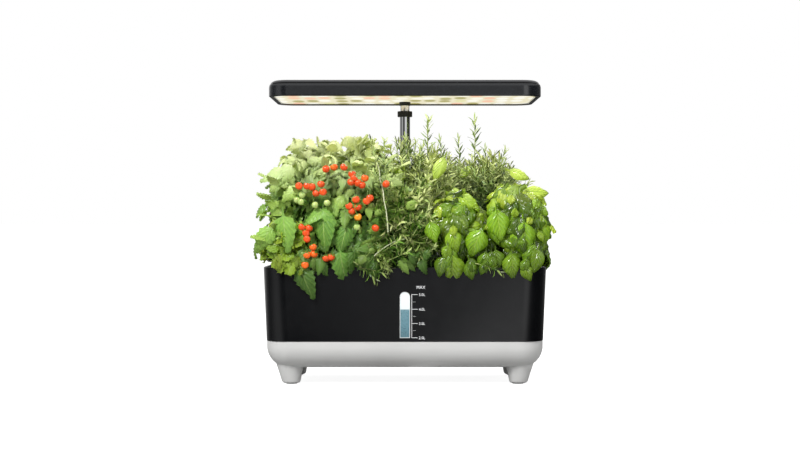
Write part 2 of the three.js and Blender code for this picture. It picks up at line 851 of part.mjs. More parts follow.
// Rings up the rounded edge between two heights, spaced by equal turns of the curve.
function lampCurve(from, to, steps) {
  const turnAt = (z) => Math.asin((z - lampCurveBottom) / lampTopRadius);
  const rings = [];
  for (let i = 0; i <= steps; i++) {
    const turn = THREE.MathUtils.lerp(turnAt(from), turnAt(to), i / steps);
    const z = lampCurveBottom + lampTopRadius * Math.sin(turn);
    rings.push(lampRing(z, lampTopRadius * (1 - Math.cos(turn))));
  }
  return rings;
}

const grooveTop = lampHeight - lampGrooveDepthFromTop;
const grooveBottom = grooveTop - lampGrooveWidth;

// A round bar along Y, at the height of the power inlet.
function inletBarrel(radius, back, front) {
  const barrel = new THREE.CylinderGeometry(radius, radius, back - front, smallSteps);
  return barrel.translate(0, (back + front) / 2, inletHeight);
}

// Bezel: the lamp's side wall with a lip that holds the diffuser and a ledge for the LED board.
function makeBezel() {
  const ledgeTop = ledBoardHeight - fitGap;
  const rings = [
    lampRing(0, lampBottomChamfer),
    lampRing(lampBottomChamfer, 0),
    ...lampCurve(lampCurveBottom, grooveBottom, 3),
    lampRing(grooveBottom, lampWall),
    lampRing(ledgeTop, lampWall),
    lampRing(ledgeTop, lampWall + boardLedge),
    lampRing(bezelLipThickness, lampWall + boardLedge),
    lampRing(bezelLipThickness, bezelLip),
    lampRing(0, bezelLip),
  ];
  const back = lampDepth / 2 + cutOverrun;
  const hole = inletBarrel(inletRadius + fitGap, back, back - 2 * cutOverrun - lampWall - boardLedge);
  piece(lamp, "lamp_bezel", geometryOf(cutBy(solid(loft(rings, true)), solid(hole))), lampPlastic);
}

// Cover: the lamp's top with a skirt inside the bezel, key holes and posts for the control board.
function makeCover() {
  const ceiling = lampHeight - coverThickness;
  const skirtBottom = grooveTop - coverSkirtHeight;
  const skirtInset = lampWall + fitGap;
  const rings = [
    lampRing(ceiling, skirtInset + coverSkirtWall),
    lampRing(skirtBottom, skirtInset + coverSkirtWall),
    lampRing(skirtBottom, skirtInset),
    lampRing(grooveTop, skirtInset),
    ...lampCurve(grooveTop, lampHeight, 4),
  ];
  const keyHole = disc(keyRadius + fitGap, ceiling - cutOverrun, lampHeight + cutOverrun);
  const keyHoles = keyPlaces.map(([, x]) => solid(keyHole.clone().translate(x, keyY, 0)));
  const post = disc(boardPostRadius, controlBoardTop + fitGap, ceiling + coverThickness / 2, smallSteps);
  const postX = controlBoardWidth / 2 - boardPostInset;
  const postY = controlBoardDepth / 2 - boardPostInset;
  const posts = feet.map(([, sx, sy]) => solid(post.clone().translate(sx * postX, keyY + sy * postY, 0)));
  const cover = joined(cutBy(solid(loft(rings)), ...keyHoles), ...posts);
  piece(lamp, "lamp_cover", geometryOf(cover), lampPlastic);
}

// Keys: each stands a little proud and presses down on its switch.
const keyPlaces = [
  ["light_button", -keySpacing / 2],
  ["pump_button", keySpacing / 2],
];
const keyFlangeTop = lampHeight - coverThickness - fitGap;
const keyBottom = keyFlangeTop - keyFlangeThickness;
const controlBoardTop = keyBottom - keyTravel - fitGap - switchHeight;

function makeKeys() {
  const profile = [
    [0, keyBottom],
    [keyRadius + keyFlange, keyBottom],
    [keyRadius + keyFlange, keyFlangeTop],
    [keyRadius, keyFlangeTop],
    [keyRadius, lampHeight + keyProud / 2],
    [keyRadius - keyProud, lampHeight + keyProud],
    [0, lampHeight + keyProud],
  ];
  const boardBottom = controlBoardTop - controlBoardThickness;
  const board = box(controlBoardWidth, controlBoardDepth, controlBoardThickness, 0, keyY, boardBottom);
  const sunk = controlBoardThickness / 2;
  const switches = keyPlaces.map(([name, x]) => {
    piece(lamp, name, turned(profile).translate(x, keyY, 0), greyPlastic);
    return solid(box(switchSize, switchSize, switchHeight + sunk, x, keyY, controlBoardTop - sunk));
  });
  piece(lamp, "control_board", geometryOf(joined(solid(board), ...switches)), boardGreen);
}

// LED board with its rows of LEDs, and the diffuser under it, both bored for the mast's boss.
function makePanel() {
  const bossHole = solid(disc(bossRadius + fitGap, -cutOverrun, lampHeight).translate(0, mastY, 0));
  const inset = lampWall + fitGap;
  const board = loft([lampRing(ledBoardHeight, inset), lampRing(boardTop, inset)]);
  const leds = [];
  for (let row = 0; row < ledRows; row++)
    for (let column = 0; column < ledColumns; column++) {
      const x = (column - (ledColumns - 1) / 2) * ledSpacingX;
      const y = (row - (ledRows - 1) / 2) * ledSpacingY;
      const rooted = ledHeight + ledBoardThickness / 2;
      leds.push(solid(box(ledSize, ledSize, rooted, x, y, ledBoardHeight - ledHeight)));
    }
  const notchDepth = 2 * inletLength;
  const notchWidth = 2 * (inletRadius + cutOverrun);
  const notch = solid(box(notchWidth, notchDepth, lampHeight, 0, lampDepth / 2, 0));
  const ledBoard = cutBy(joined(solid(board), ...leds), bossHole, notch);
  piece(lamp, "led_board", geometryOf(ledBoard), boardWhite);
  const panelInset = lampWall + boardLedge + fitGap;
  const panelBottom = bezelLipThickness + fitGap;
  const panelTop = panelBottom + diffuserThickness;
  const panel = loft([lampRing(panelBottom, panelInset), lampRing(panelTop, panelInset)]);
  piece(lamp, "lamp_diffuser", geometryOf(cutBy(solid(panel), bossHole)), litPanel);
}

// Boss: hangs through the panel from a flange on the LED board and takes the sliding tube.
function makeBoss() {
  const flangeBottom = boardTop + fitGap;
  const flangeTop = flangeBottom + bossFlangeThickness;
  const bore = upperTubeRadius + fitGap;
  const boreTop = flangeTop - bossCeiling;
  const profile = [
    [bore, -bossDrop],
    [bossRadius, -bossDrop],
    [bossRadius, flangeBottom],
    [bossFlangeRadius, flangeBottom],
    [bossFlangeRadius, flangeTop],
    [0, flangeTop],
    [0, boreTop],
    [bore, boreTop],
    [bore, -bossDrop],
  ];
  piece(lamp, "lamp_boss", turned(profile).translate(0, mastY, 0), blackPlastic);
}

// Power inlet: a barrel in the bezel's rear wall with a centre pin.
function makeInlet() {
  const back = lampDepth / 2 + inletProud;
  const front = back - inletLength;
  const barrel = solid(inletBarrel(inletRadius, back, front));
  const bore = solid(inletBarrel(inletBoreRadius, back + cutOverrun, front + inletFloor));
  const pin = solid(inletBarrel(inletPinRadius, back - inletProud, front + inletFloor / 2));
  piece(lamp, "dc_inlet", geometryOf(joined(cutBy(barrel, bore), pin)), blackPlastic);
}

// Pump: local x to the right, y up and z towards the front of the garden.
const tankFloor = undersideHeight + baseWall + fitGap + tankFloorWall;
const pump = groupAt(garden, 0, pumpY, tankFloor + fitGap + pumpHeight / 2);
pump.rotation.x = Math.PI / 2;

function makePump() {
  const front = pumpBodyDepth / 2;
  const pocketFloor = front - pumpPocketDepth;
  const block = solid(box(pumpWidth, pumpHeight, pumpBodyDepth, 0, 0, -front));
  const pocket = solid(disc(pumpPocketRadius, pocketFloor, front + cutOverrun));
  const axle = solid(disc(axleRadius, pocketFloor - cutOverrun, front - fitGap, smallSteps));
  const nozzleTop = pumpHeight / 2 + nozzleLength;
  const upright = (radius, bottom, top) => {
    const bar = new THREE.CylinderGeometry(radius, radius, top - bottom, smallSteps);
    return solid(bar.translate(0, (bottom + top) / 2, pocketFloor + nozzleBoreRadius));
  };
  const nozzle = upright(nozzleRadius, pumpHeight / 2 - cutOverrun, nozzleTop);
  const channel = upright(nozzleBoreRadius, pumpPocketRadius - cutOverrun, nozzleTop + cutOverrun);
  const body = cutBy(joined(block, nozzle), pocket, channel);
  piece(pump, "pump_body", geometryOf(joined(body, axle)), blackPlastic);

  const hub = solid(disc(impellerHubRadius, 0, impellerLength, smallSteps));
  const blade = box(2 * impellerRadius, bladeThickness, impellerLength, 0, 0, 0);
  const blades = [];
  for (let i = 0; i < impellerBlades / 2; i++)
    blades.push(solid(blade.clone().rotateZ((i * 2 * Math.PI) / impellerBlades)));
  const bore = solid(disc(axleRadius + fitGap, -cutOverrun, impellerLength + cutOverrun, smallSteps));
  const wheel = geometryOf(cutBy(joined(hub, ...blades), bore));
  const impeller = piece(pump, "pump_impeller", wheel, greyPlastic);
  impeller.position.z = pocketFloor + (pumpPocketDepth - impellerLength) / 2;

  const coverBack = front + fitGap;
  const cover = solid(box(pumpWidth, pumpHeight, pumpCoverThickness, 0, 0, coverBack));
  const slotDepth = pumpCoverThickness + 2 * cutOverrun;
  const slot = box(intakeSlotWidth, intakeSlotHeight, slotDepth, 0, 0, coverBack - cutOverrun);
  const slots = [];
  for (let i = 0; i < intakeSlots; i++)
    slots.push(solid(slot.clone().translate((i - (intakeSlots - 1) / 2) * 2 * intakeSlotWidth, 0, 0)));
  piece(pump, "pump_cover", geometryOf(cutBy(cover, ...slots)), blackPlastic);
}

makeBase();
makeFeet();
makeTank();
makeWindow();
makeDeck();
makeFlap();
makePods();
makeMast();
makeBezel();
makeCover();
makeKeys();
makePanel();
makeBoss();
makeInlet();
makePump();

export default garden;
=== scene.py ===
import math
import random

import bmesh
import bpy
from mathutils import Euler, Matrix, Vector


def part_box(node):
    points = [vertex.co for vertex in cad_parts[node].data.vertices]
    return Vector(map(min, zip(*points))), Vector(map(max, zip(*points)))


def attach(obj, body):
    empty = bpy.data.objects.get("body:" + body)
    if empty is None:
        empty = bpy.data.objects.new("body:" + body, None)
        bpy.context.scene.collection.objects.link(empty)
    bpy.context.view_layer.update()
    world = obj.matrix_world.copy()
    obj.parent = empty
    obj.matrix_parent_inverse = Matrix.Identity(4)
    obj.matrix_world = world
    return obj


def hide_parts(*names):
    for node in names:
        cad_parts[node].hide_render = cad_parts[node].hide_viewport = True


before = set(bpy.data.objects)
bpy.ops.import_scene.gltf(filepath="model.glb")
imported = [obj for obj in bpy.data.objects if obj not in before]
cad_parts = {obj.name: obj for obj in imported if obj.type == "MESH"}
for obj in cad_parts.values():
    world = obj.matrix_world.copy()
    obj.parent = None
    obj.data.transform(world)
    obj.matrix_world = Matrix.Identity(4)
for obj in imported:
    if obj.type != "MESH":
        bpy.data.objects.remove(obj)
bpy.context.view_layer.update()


# Selecting and editing

def leaveEdit():
    if bpy.context.object and bpy.context.object.mode != "OBJECT":
        bpy.ops.object.mode_set(mode="OBJECT")


def deselect():
    leaveEdit()
    bpy.ops.object.select_all(action="DESELECT")


def onlySelect(piece):
    deselect()
    piece.select_set(True)
    bpy.context.view_layer.objects.active = piece


def editPiece(piece):
    onlySelect(piece)
    bpy.ops.object.mode_set(mode="EDIT")


def pick(piece, kind, test):  # selects verts, edges or faces by their place, in edit mode
    bpy.ops.mesh.select_mode(type=kind)
    bpy.ops.mesh.select_all(action="DESELECT")
    work = bmesh.from_edit_mesh(piece.data)
    parts = {"VERT": work.verts, "EDGE": work.edges, "FACE": work.faces}[kind]
    for part in parts:
        if test(part):
            part.select_set(True)
    work.select_flush_mode()
    bmesh.update_edit_mesh(piece.data)


def middle(edge):
    return (edge.verts[0].co + edge.verts[1].co) / 2


def upright(edge):  # an edge that runs mostly up and down
    run = edge.verts[1].co - edge.verts[0].co
    return abs(run.z) > 0.9 * run.length


def levelAt(z):  # a test for level edges at a height
    return lambda edge: all(abs(v.co.z - z) < 1e-5 for v in edge.verts)


def facing(z, sign):  # a test for faces at a height that look up or down
    return lambda face: face.normal.z * sign > 0.9 and abs(face.calc_center_median().z - z) < 1e-5


def slide(x=0, y=0, z=0):
    bpy.ops.transform.translate(value=(x, y, z))


def extrudeBy(x=0, y=0, z=0):
    bpy.ops.mesh.extrude_region_move(TRANSFORM_OT_translate={"value": (x, y, z)})


def bevelBy(offset, segments):
    bpy.ops.mesh.bevel(offset=offset, segments=segments, profile=0.5, affect="EDGES", clamp_overlap=False)


def applyPlace():
    bpy.ops.object.transform_apply(location=True, rotation=True, scale=True)
    return bpy.context.object


def addBox(size, low):  # a box of a size that stands at a height, centred on the axis
    deselect()
    bpy.ops.mesh.primitive_cube_add(size=1, location=(0, 0, low + size[2] / 2))
    bpy.context.object.scale = size
    return applyPlace()


def addCylinder(radius, low, high, x=0, y=0, sides=48):
    deselect()
    bpy.ops.mesh.primitive_cylinder_add(vertices=sides, radius=radius, depth=high - low,
                                        location=(x, y, (low + high) / 2))
    return applyPlace()


alongY = {"end_fill_type": "NOTHING", "rotation": (-math.pi / 2, 0, 0)}  # an open cone that grows along Y


def addCone(sides, lowRadius, highRadius, depth, place, **settings):
    deselect()
    bpy.ops.mesh.primitive_cone_add(vertices=sides, radius1=lowRadius, radius2=highRadius, depth=depth,
                                    location=place, **settings)
    return applyPlace()


def middleOf(node):  # where a CAD node stands, seen from above
    low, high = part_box(node)
    return (low.x + high.x) / 2, (low.y + high.y) / 2


def newPiece(name, mesh, material=None):
    if material:
        mesh.materials.clear()
        mesh.materials.append(material)
    piece = bpy.data.objects.new(name, mesh)
    bpy.context.collection.objects.link(piece)
    return piece


def addModifier(piece, kind, **settings):
    onlySelect(piece)
    modifier = piece.modifiers.new(kind.lower(), kind)
    for name, value in settings.items():
        setattr(modifier, name, value)
    bpy.ops.object.modifier_apply(modifier=modifier.name)


def cutWith(piece, cutter):
    addModifier(piece, "BOOLEAN", operation="DIFFERENCE", object=cutter, solver="EXACT")
    bpy.data.objects.remove(cutter)


def joinAll(pieces):
    deselect()
    for piece in pieces:
        piece.select_set(True)
    bpy.context.view_layer.objects.active = pieces[0]
    if len(pieces) > 1:
        bpy.ops.object.join()
    return bpy.context.object


def shadeSmooth(piece):
    onlySelect(piece)
    bpy.ops.object.shade_smooth()


def smooth(piece, degrees):  # smooth up to an angle, with wide faces keeping their own direction
    onlySelect(piece)
    bpy.ops.object.shade_smooth_by_angle(angle=math.radians(degrees))
    addModifier(piece, "WEIGHTED_NORMAL", keep_sharp=True, weight=80)


def finishPiece(piece, name, body, slot, *materials, stands=()):
    onlySelect(piece)
    applyPlace()
    piece.name = name
    piece.data.name = name
    if materials:
        piece.data.materials.clear()
        for material in materials:
            piece.data.materials.append(material)
    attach(piece, body)
    if stands:
        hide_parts(*stands)
    return piece


# Materials: small node builders that the finishes below share

def newMaterial(name):
    material = bpy.data.materials.new(name)
    material.use_nodes = True
    tree = material.node_tree
    return material, tree, tree.nodes["Principled BSDF"]


def setInputs(tree, node, inputs):  # another node's socket is linked, and a value is set
    for name, value in inputs.items():
        socket = node.inputs[name]
        if isinstance(value, bpy.types.NodeSocket):
            tree.links.new(value, socket)
        elif socket.type == "RGBA":
            socket.default_value = (*value, 1) if isinstance(value, tuple) else (value, value, value, 1)
        else:
            socket.default_value = value


def addNode(tree, kind, inputs={}, **settings):
    node = tree.nodes.new("ShaderNode" + kind)
    for name, value in settings.items():
        setattr(node, name, value)
    setInputs(tree, node, inputs)
    return node


def objectPlace(tree):
    return addNode(tree, "TexCoord").outputs["Object"]


def objectNoise(tree, scale, detail=4, stretch=(1, 1, 1)):
    place = addNode(tree, "Mapping", {"Vector": objectPlace(tree), "Scale": stretch}).outputs[0]
    return addNode(tree, "TexNoise", {"Vector": place, "Scale": scale, "Detail": detail}).outputs["Fac"]


def ramp(tree, value, stops):
    scale = addNode(tree, "ValToRGB", {"Fac": value})
    elements = scale.color_ramp.elements
    while len(elements) < len(stops):
        elements.new(0.5)
    for element, (place, colour) in zip(elements, stops):
        element.position = place
        element.color = (*colour, 1)
    return scale.outputs["Color"]


def mapRange(tree, value, low, high, toLow=0.0, toHigh=1.0):
    limits = {"From Min": low, "From Max": high, "To Min": toLow, "To Max": toHigh}
    return addNode(tree, "MapRange", {"Value": value, **limits}).outputs["Result"]


def spread(tree, noise, low, high):  # noise stays mostly between 0.3 and 0.7
    return mapRange(tree, noise, 0.3, 0.7, low, high)


def calc(tree, kind, *values):
    return addNode(tree, "Math", dict(enumerate(values)), operation=kind).outputs[0]


def mixed(tree, factor, first, second, kind="MIX"):
    inputs = {"Factor": factor, "A": first, "B": second}
    return addNode(tree, "Mix", inputs, data_type="RGBA", blend_type=kind).outputs["Result"]


def mixShaders(tree, factor, first, second):
    return addNode(tree, "MixShader", {"Fac": factor, 1: first.outputs[0], 2: second.outputs[0]}).outputs[0]


def bump(tree, height, strength, distance):
    return addNode(tree, "Bump", {"Height": height, "Strength": strength, "Distance": distance}).outputs["Normal"]


def mouldedPlastic(name, dark, light, roughness, grain, specular=0.5):
    # fine spark-eroded grain, faint wide colour change, uneven sheen
    material, tree, shader = newMaterial(name)
    setInputs(tree, shader, {
        "Base Color": ramp(tree, objectNoise(tree, 14, 2), [(0.3, dark), (0.7, light)]),
        "Roughness": spread(tree, objectNoise(tree, 60, 3), roughness - 0.04, roughness + 0.05),
        "Normal": bump(tree, objectNoise(tree, 2600, 2), grain, 0.00006),
        "Specular IOR Level": specular,
    })
    return material


def brightMetal(name, colour, roughness):
    # polished tube with faint drawn lines along it
    material, tree, shader = newMaterial(name)
    lines = objectNoise(tree, 900, 3, (1, 1, 0.02))
    setInputs(tree, shader, {
        "Metallic": 1,
        "Base Color": ramp(tree, lines, [(0.3, tuple(0.86 * c for c in colour)), (0.7, colour)]),
        "Roughness": spread(tree, lines, roughness, roughness * 1.5),
    })
    return material


# Camera and stage

cameraPlace = {
    "eye": (0, -1.9575, 0.2092),
    "lens": 68.95,
    "shiftX": -0.0061,  # the garden stands a little right of the frame's middle
    "shiftY": -0.0219,
}


def makeCamera():
    bpy.ops.object.camera_add(location=cameraPlace["eye"], rotation=(math.pi / 2, 0, 0))
    camera = bpy.context.object
    camera.name = "camera"
    camera.data.lens = cameraPlace["lens"]
    camera.data.sensor_width = 36
    camera.data.shift_x = cameraPlace["shiftX"]
    camera.data.shift_y = cameraPlace["shiftY"]
    camera.data.clip_end = 100
    bpy.context.scene.camera = camera


studio = {
    "worldLight": 0.56,
    "floorSize": 60,
    "floorColour": (0.42, 0.42, 0.42),
    "floorGlow": 0.905,  # lifts the open floor to white for the camera, the shadow stays
    "flags": [  # flags and cards round the horizon that gloss meets: degrees right of the front, level
        (-180, 1.0), (-146, 0.8), (-128, 0.42), (-108, 0.16), (-92, 0.06), (-78, 0.2), (-62, 0.44), (-47, 0.44),
        (-38, 0.12), (-30, 0.03), (-20, 0.03), (-12, 0.16), (-5, 0.28), (0, 0.28), (5, 0.28), (9, 0.4), (14, 0.9),
        (32, 0.92), (41, 0.25), (49, 0.06), (60, 0.01), (80, 0.01), (104, 0.04), (130, 0.12), (152, 0.25),
        (170, 0.7), (180, 1.0),
    ],
    "overhead": (0.3, 0.6, 0.6),  # the gloss turns to an even light between these heights of view
    "lamps": [  # name, place, aim, width, height, power
        ("keyLamp", (-0.8, -1.4, 1.5), (0, 0, 0.2), 0.6, 0.6, 42),
        ("fillLamp", (1.3, -1.3, 1.4), (0, 0, 0.15), 1.0, 1.0, 10),
        ("backLamp", (0.2, 1.3, 1.5), (0, 0, 0.2), 1.2, 0.8, 20),
        ("growLamp", (0, 0, 0.3545), (0, 0, 0), 0.30, 0.14, 0.2),  # the lit panel's own light on the plants
    ],
}


def flagLevel(tree, direction):  # how bright gloss finds the horizon in a direction
    x, y, z = addNode(tree, "SeparateXYZ", {0: direction}).outputs
    around = calc(tree, "ARCTAN2", x, calc(tree, "MULTIPLY", y, -1))
    stops = [(degrees / 360 + 0.5, (level,) * 3) for degrees, level in studio["flags"]]
    return ramp(tree, mapRange(tree, around, -math.pi, math.pi), stops), z


def makeFloor():
    deselect()
    bpy.ops.mesh.primitive_plane_add(size=studio["floorSize"], location=(0, 0, 0))
    floor = bpy.context.object
    floor.name = "floor"
    material, tree, shader = newMaterial("studioFloor")
    rays = addNode(tree, "LightPath").outputs
    setInputs(tree, shader, {
        "Base Color": studio["floorColour"],
        "Roughness": 0.9,
        "Specular IOR Level": 0,
        "Emission Color": 1,
        "Emission Strength": calc(tree, "MULTIPLY", rays["Is Camera Ray"], studio["floorGlow"]),
    })
    level, height = flagLevel(tree, objectPlace(tree))
    card = addNode(tree, "Emission", {"Color": level})
    both = mixShaders(tree, rays["Is Glossy Ray"], shader, card)
    setInputs(tree, tree.nodes["Material Output"], {"Surface": both})
    floor.data.materials.append(material)


def makeWorld():
    world = bpy.data.worlds.new("studio")
    bpy.context.scene.world = world
    world.use_nodes = True
    tree = world.node_tree
    tree.nodes.clear()
    rays = addNode(tree, "LightPath").outputs
    seen = calc(tree, "MAXIMUM", rays["Is Camera Ray"], rays["Is Transmission Ray"])
    level, height = flagLevel(tree, addNode(tree, "TexCoord").outputs["Generated"])
    low, high, even = studio["overhead"]
    gloss = mixed(tree, mapRange(tree, height, low, high), level, even)
    lit = mixed(tree, rays["Is Glossy Ray"], studio["worldLight"], gloss)
    background = addNode(tree, "Background", {"Color": mixed(tree, seen, lit, 1.0), "Strength": 1})
    addNode(tree, "OutputWorld", {"Surface": background.outputs[0]})


def makeLamps():
    for name, place, aim, width, height, power in studio["lamps"]:
        bpy.ops.object.light_add(type="AREA", location=place)
        light = bpy.context.object
        light.name = name
        light.data.shape = "RECTANGLE"
        light.data.size = width
        light.data.size_y = height
        light.data.energy = power
        light.rotation_euler = (Vector(aim) - Vector(place)).to_track_quat("-Z", "Y").to_euler()


plastics = {  # dark and light tone, roughness, grain, specular level
    "tankBlack": ((0.0026, 0.0028, 0.0034), (0.0036, 0.0039, 0.0046), 0.22, 0.06, 0.5),
    "lampBlack": ((0.020, 0.0225, 0.027), (0.024, 0.0265, 0.031), 0.13, 0.03, 1.0),
    "lipBlackGrooveShade": ((0.008, 0.008, 0.009), (0.011, 0.011, 0.012), 0.6, 0.1, 0.05),
    "baseGrey": ((0.53, 0.53, 0.52), (0.58, 0.58, 0.57), 0.46, 0.12, 0.4),
    "deckBlack": ((0.010, 0.0105, 0.011), (0.016, 0.0165, 0.017), 0.5, 0.25, 0.3),
    "rubberBlack": ((0.012, 0.012, 0.012), (0.02, 0.02, 0.02), 0.8, 0.5, 0.2),
    "keyGrey": ((0.06, 0.062, 0.066), (0.085, 0.088, 0.092), 0.4, 0.1, 0.4),
    "boardWhite": ((0.7, 0.7, 0.66), (0.78, 0.78, 0.73), 0.5, 0.05),
    "boardGreen": ((0.01, 0.07, 0.03), (0.015, 0.1, 0.045), 0.4, 0.1),
    "windowRim": ((0.72, 0.74, 0.74), (0.8, 0.82, 0.82), 0.25, 0.03),
    "scaleInk": ((0.86, 0.87, 0.88), (0.94, 0.95, 0.96), 0.5, 0.02),
    "stemGreen": ((0.20, 0.32, 0.10), (0.42, 0.50, 0.24), 0.5, 0.3, 0.3),
    "stemPale": ((0.55, 0.60, 0.34), (0.80, 0.82, 0.58), 0.5, 0.3, 0.3),
}
metals = {  # colour, roughness
    "polishedChrome": ((0.84, 0.85, 0.86), 0.03),
    "satinChrome": ((0.88, 0.88, 0.88), 0.07),
    "pinSteel": ((0.5, 0.5, 0.5), 0.28),
}
finishes = {name: mouldedPlastic(name, *look) for name, look in plastics.items()}
finishes.update((name, brightMetal(name, *look)) for name, look in metals.items())
print("finishes of the housing made")

makeCamera()
makeFloor()
makeWorld()
makeLamps()
bpy.context.scene.view_settings.view_transform = "Standard"
print("camera and stage made")


# Base: the round-edged bowl

base = {
    "width": 0.3423,
    "depth": 0.1673,
    "bottom": 0.0206,
    "top": 0.054,
    "corner": 0.030,
    "edge": 0.0265,
    "wall": 0.0024,
    "lipEdge": 0.0004,
}


def makeBase():
    height = base["top"] - base["bottom"]
    bowl = addBox((base["width"], base["depth"], height), base["bottom"])
    editPiece(bowl)
    pick(bowl, "EDGE", upright)
    bevelBy(base["corner"], 16)
    pick(bowl, "EDGE", levelAt(base["bottom"]))
    bevelBy(base["edge"], 14)
    pick(bowl, "FACE", facing(base["top"], 1))
    bpy.ops.mesh.delete(type="FACE")
    leaveEdit()
    addModifier(bowl, "SOLIDIFY", thickness=base["wall"], offset=-1, use_even_offset=True)
    editPiece(bowl)
    pick(bowl, "EDGE", lambda e: levelAt(base["top"])(e) and len(e.link_faces) == 2
         and any(abs(f.normal.z) < 0.5 for f in e.link_faces) and any(f.normal.z > 0.5 for f in e.link_faces))
    bevelBy(base["lipEdge"], 2)
    smooth(bowl, 40)
    return finishPiece(bowl, "baseBowl", "base", "grey_plastic", finishes["baseGrey"], stands=["base_shell"])


# Feet: tapered round posts under the bowl

feet = {
    "topRadius": 0.0193,
    "bottomRadius": 0.011,
    "bottom": 0.0008,
    "top": 0.0335,
    "edge": 0.003,
    "hollow": 0.0006,  # a shallow seat for the pad
    "lean": 0.075,  # the feet widen a little more on their outer side
}


def makeFeet():
    height = feet["top"] - feet["bottom"]
    post = addCone(56, feet["bottomRadius"], feet["topRadius"], height, (0, 0, feet["bottom"] + height / 2))
    editPiece(post)
    pick(post, "EDGE", levelAt(feet["bottom"]))
    bevelBy(feet["edge"], 6)
    pick(post, "FACE", facing(feet["bottom"], -1))
    bpy.ops.mesh.inset(thickness=feet["hollow"])
    extrudeBy(z=feet["hollow"])
    smooth(post, 40)
    for node in ("foot_front_left", "foot_front_right", "foot_rear_left", "foot_rear_right"):
        x, y = middleOf(node)
        lean = Matrix.Identity(4)
        lean[0][2] = math.copysign(feet["lean"], x)
        name = "foot" + "".join(part.capitalize() for part in node.split("_")[1:])
        copy = newPiece(name, post.data.copy())
        copy.data.transform(Matrix.Translation((x, y, 0)) @ lean)
        finishPiece(copy, name, "base", "grey_plastic", finishes["baseGrey"], stands=[node])
    bpy.data.objects.remove(post)


makeBase()
makeFeet()
print("base and feet made")


# Tank: a drafted box with round corners, open at the top, with the window's slot in front

tank = {
    "rimWidth": 0.350,
    "rimDepth": 0.175,
    "rim": 0.145,
    "seamWidth": 0.343,
    "seamDepth": 0.168,
    "seam": 0.0543,
    "corner": 0.029,
    "wall": 0.0036,
    "rimWall": 0.0018,
    "ledge": 0.1377,
    "floor": 0.0255,
    "under": 0.0233,
    "step": 0.0035,
    "bottomEdge": 0.022,
    "rimEdge": 0.0006,
    "draft": 0.007,  # the inside narrows by this much to the bottom
}
wallRise = tank["rim"] - base["top"]
wallOut = (tank["rimDepth"] - tank["seamDepth"]) / 2
wallLean = math.atan2(wallOut, wallRise)  # the front wall tips out


def wallFront(z):  # the front wall's outside, as y at a height
    return -(tank["seamDepth"] / 2 + (z - base["top"]) * wallOut / wallRise)


def onFrontWall(x, z):  # the matrix that lays a flat drawing on the front wall
    upright = Matrix.Rotation(wallLean, 4, "X") @ Matrix.Rotation(math.pi / 2, 4, "X")
    return Matrix.Translation((x, wallFront(z), z)) @ upright


def makeTank():
    block = addBox((tank["seamWidth"], tank["seamDepth"], tank["rim"] - tank["seam"]), tank["seam"])
    editPiece(block)
    pick(block, "VERT", lambda v: v.co.z > 0.1)
    widen = (tank["rimWidth"] / tank["seamWidth"], tank["rimDepth"] / tank["seamDepth"], 1)
    bpy.ops.transform.resize(value=widen)
    pick(block, "EDGE", upright)
    bevelBy(tank["corner"], 16)
    taper = (1 - tank["draft"] / tank["rimWidth"], 1 - tank["draft"] / tank["rimDepth"], 1)
    pick(block, "FACE", facing(tank["rim"], 1))
    bpy.ops.mesh.inset(thickness=tank["rimWall"])
    extrudeBy(z=tank["ledge"] - tank["rim"])
    bpy.ops.mesh.inset(thickness=tank["wall"] - tank["rimWall"])
    extrudeBy(z=tank["seam"] + 0.002 - tank["ledge"])
    bpy.ops.transform.resize(value=taper)
    bpy.ops.mesh.inset(thickness=0.0028)
    extrudeBy(z=tank["floor"] - tank["seam"] - 0.002)
    pick(block, "EDGE", levelAt(tank["floor"]))
    bevelBy(tank["bottomEdge"] - 0.002, 6)
    pick(block, "FACE", facing(tank["seam"], -1))
    bpy.ops.mesh.inset(thickness=tank["step"])
    extrudeBy(z=tank["under"] - tank["seam"])
    pick(block, "EDGE", levelAt(tank["under"]))
    bevelBy(tank["bottomEdge"], 6)
    pick(block, "EDGE", levelAt(tank["rim"]))
    bevelBy(tank["rimEdge"], 3)
    leaveEdit()
    cutWith(block, windowBlock(0.0003, -0.012, 0.01))
    smooth(block, 35)
    return finishPiece(block, "tankShell", "base", "black_plastic", finishes["tankBlack"], stands=["reservoir"])


# Level window: a rimmed pane with a round top, air above the water

window = {
    "width": 0.0126,
    "bottom": 0.0587,
    "top": 0.1153,
    "waterline": 0.094,
    "rim": 0.0006,
    "sunk": 0.0004,
}


def windowBlock(margin, back, front):  # square below, round above, from back to front through the wall
    half = window["width"] / 2 + margin
    low, high = window["bottom"] - margin, window["top"] + margin
    block = addBox((2 * half, high - low, front - back), back)
    editPiece(block)
    pick(block, "EDGE", lambda e: abs((e.verts[1].co - e.verts[0].co).z) > 1e-4 and middle(e).y > 0)
    bevelBy(half - 1e-5, 12)
    leaveEdit()
    block.data.transform(onFrontWall(0, (low + high) / 2))
    return block


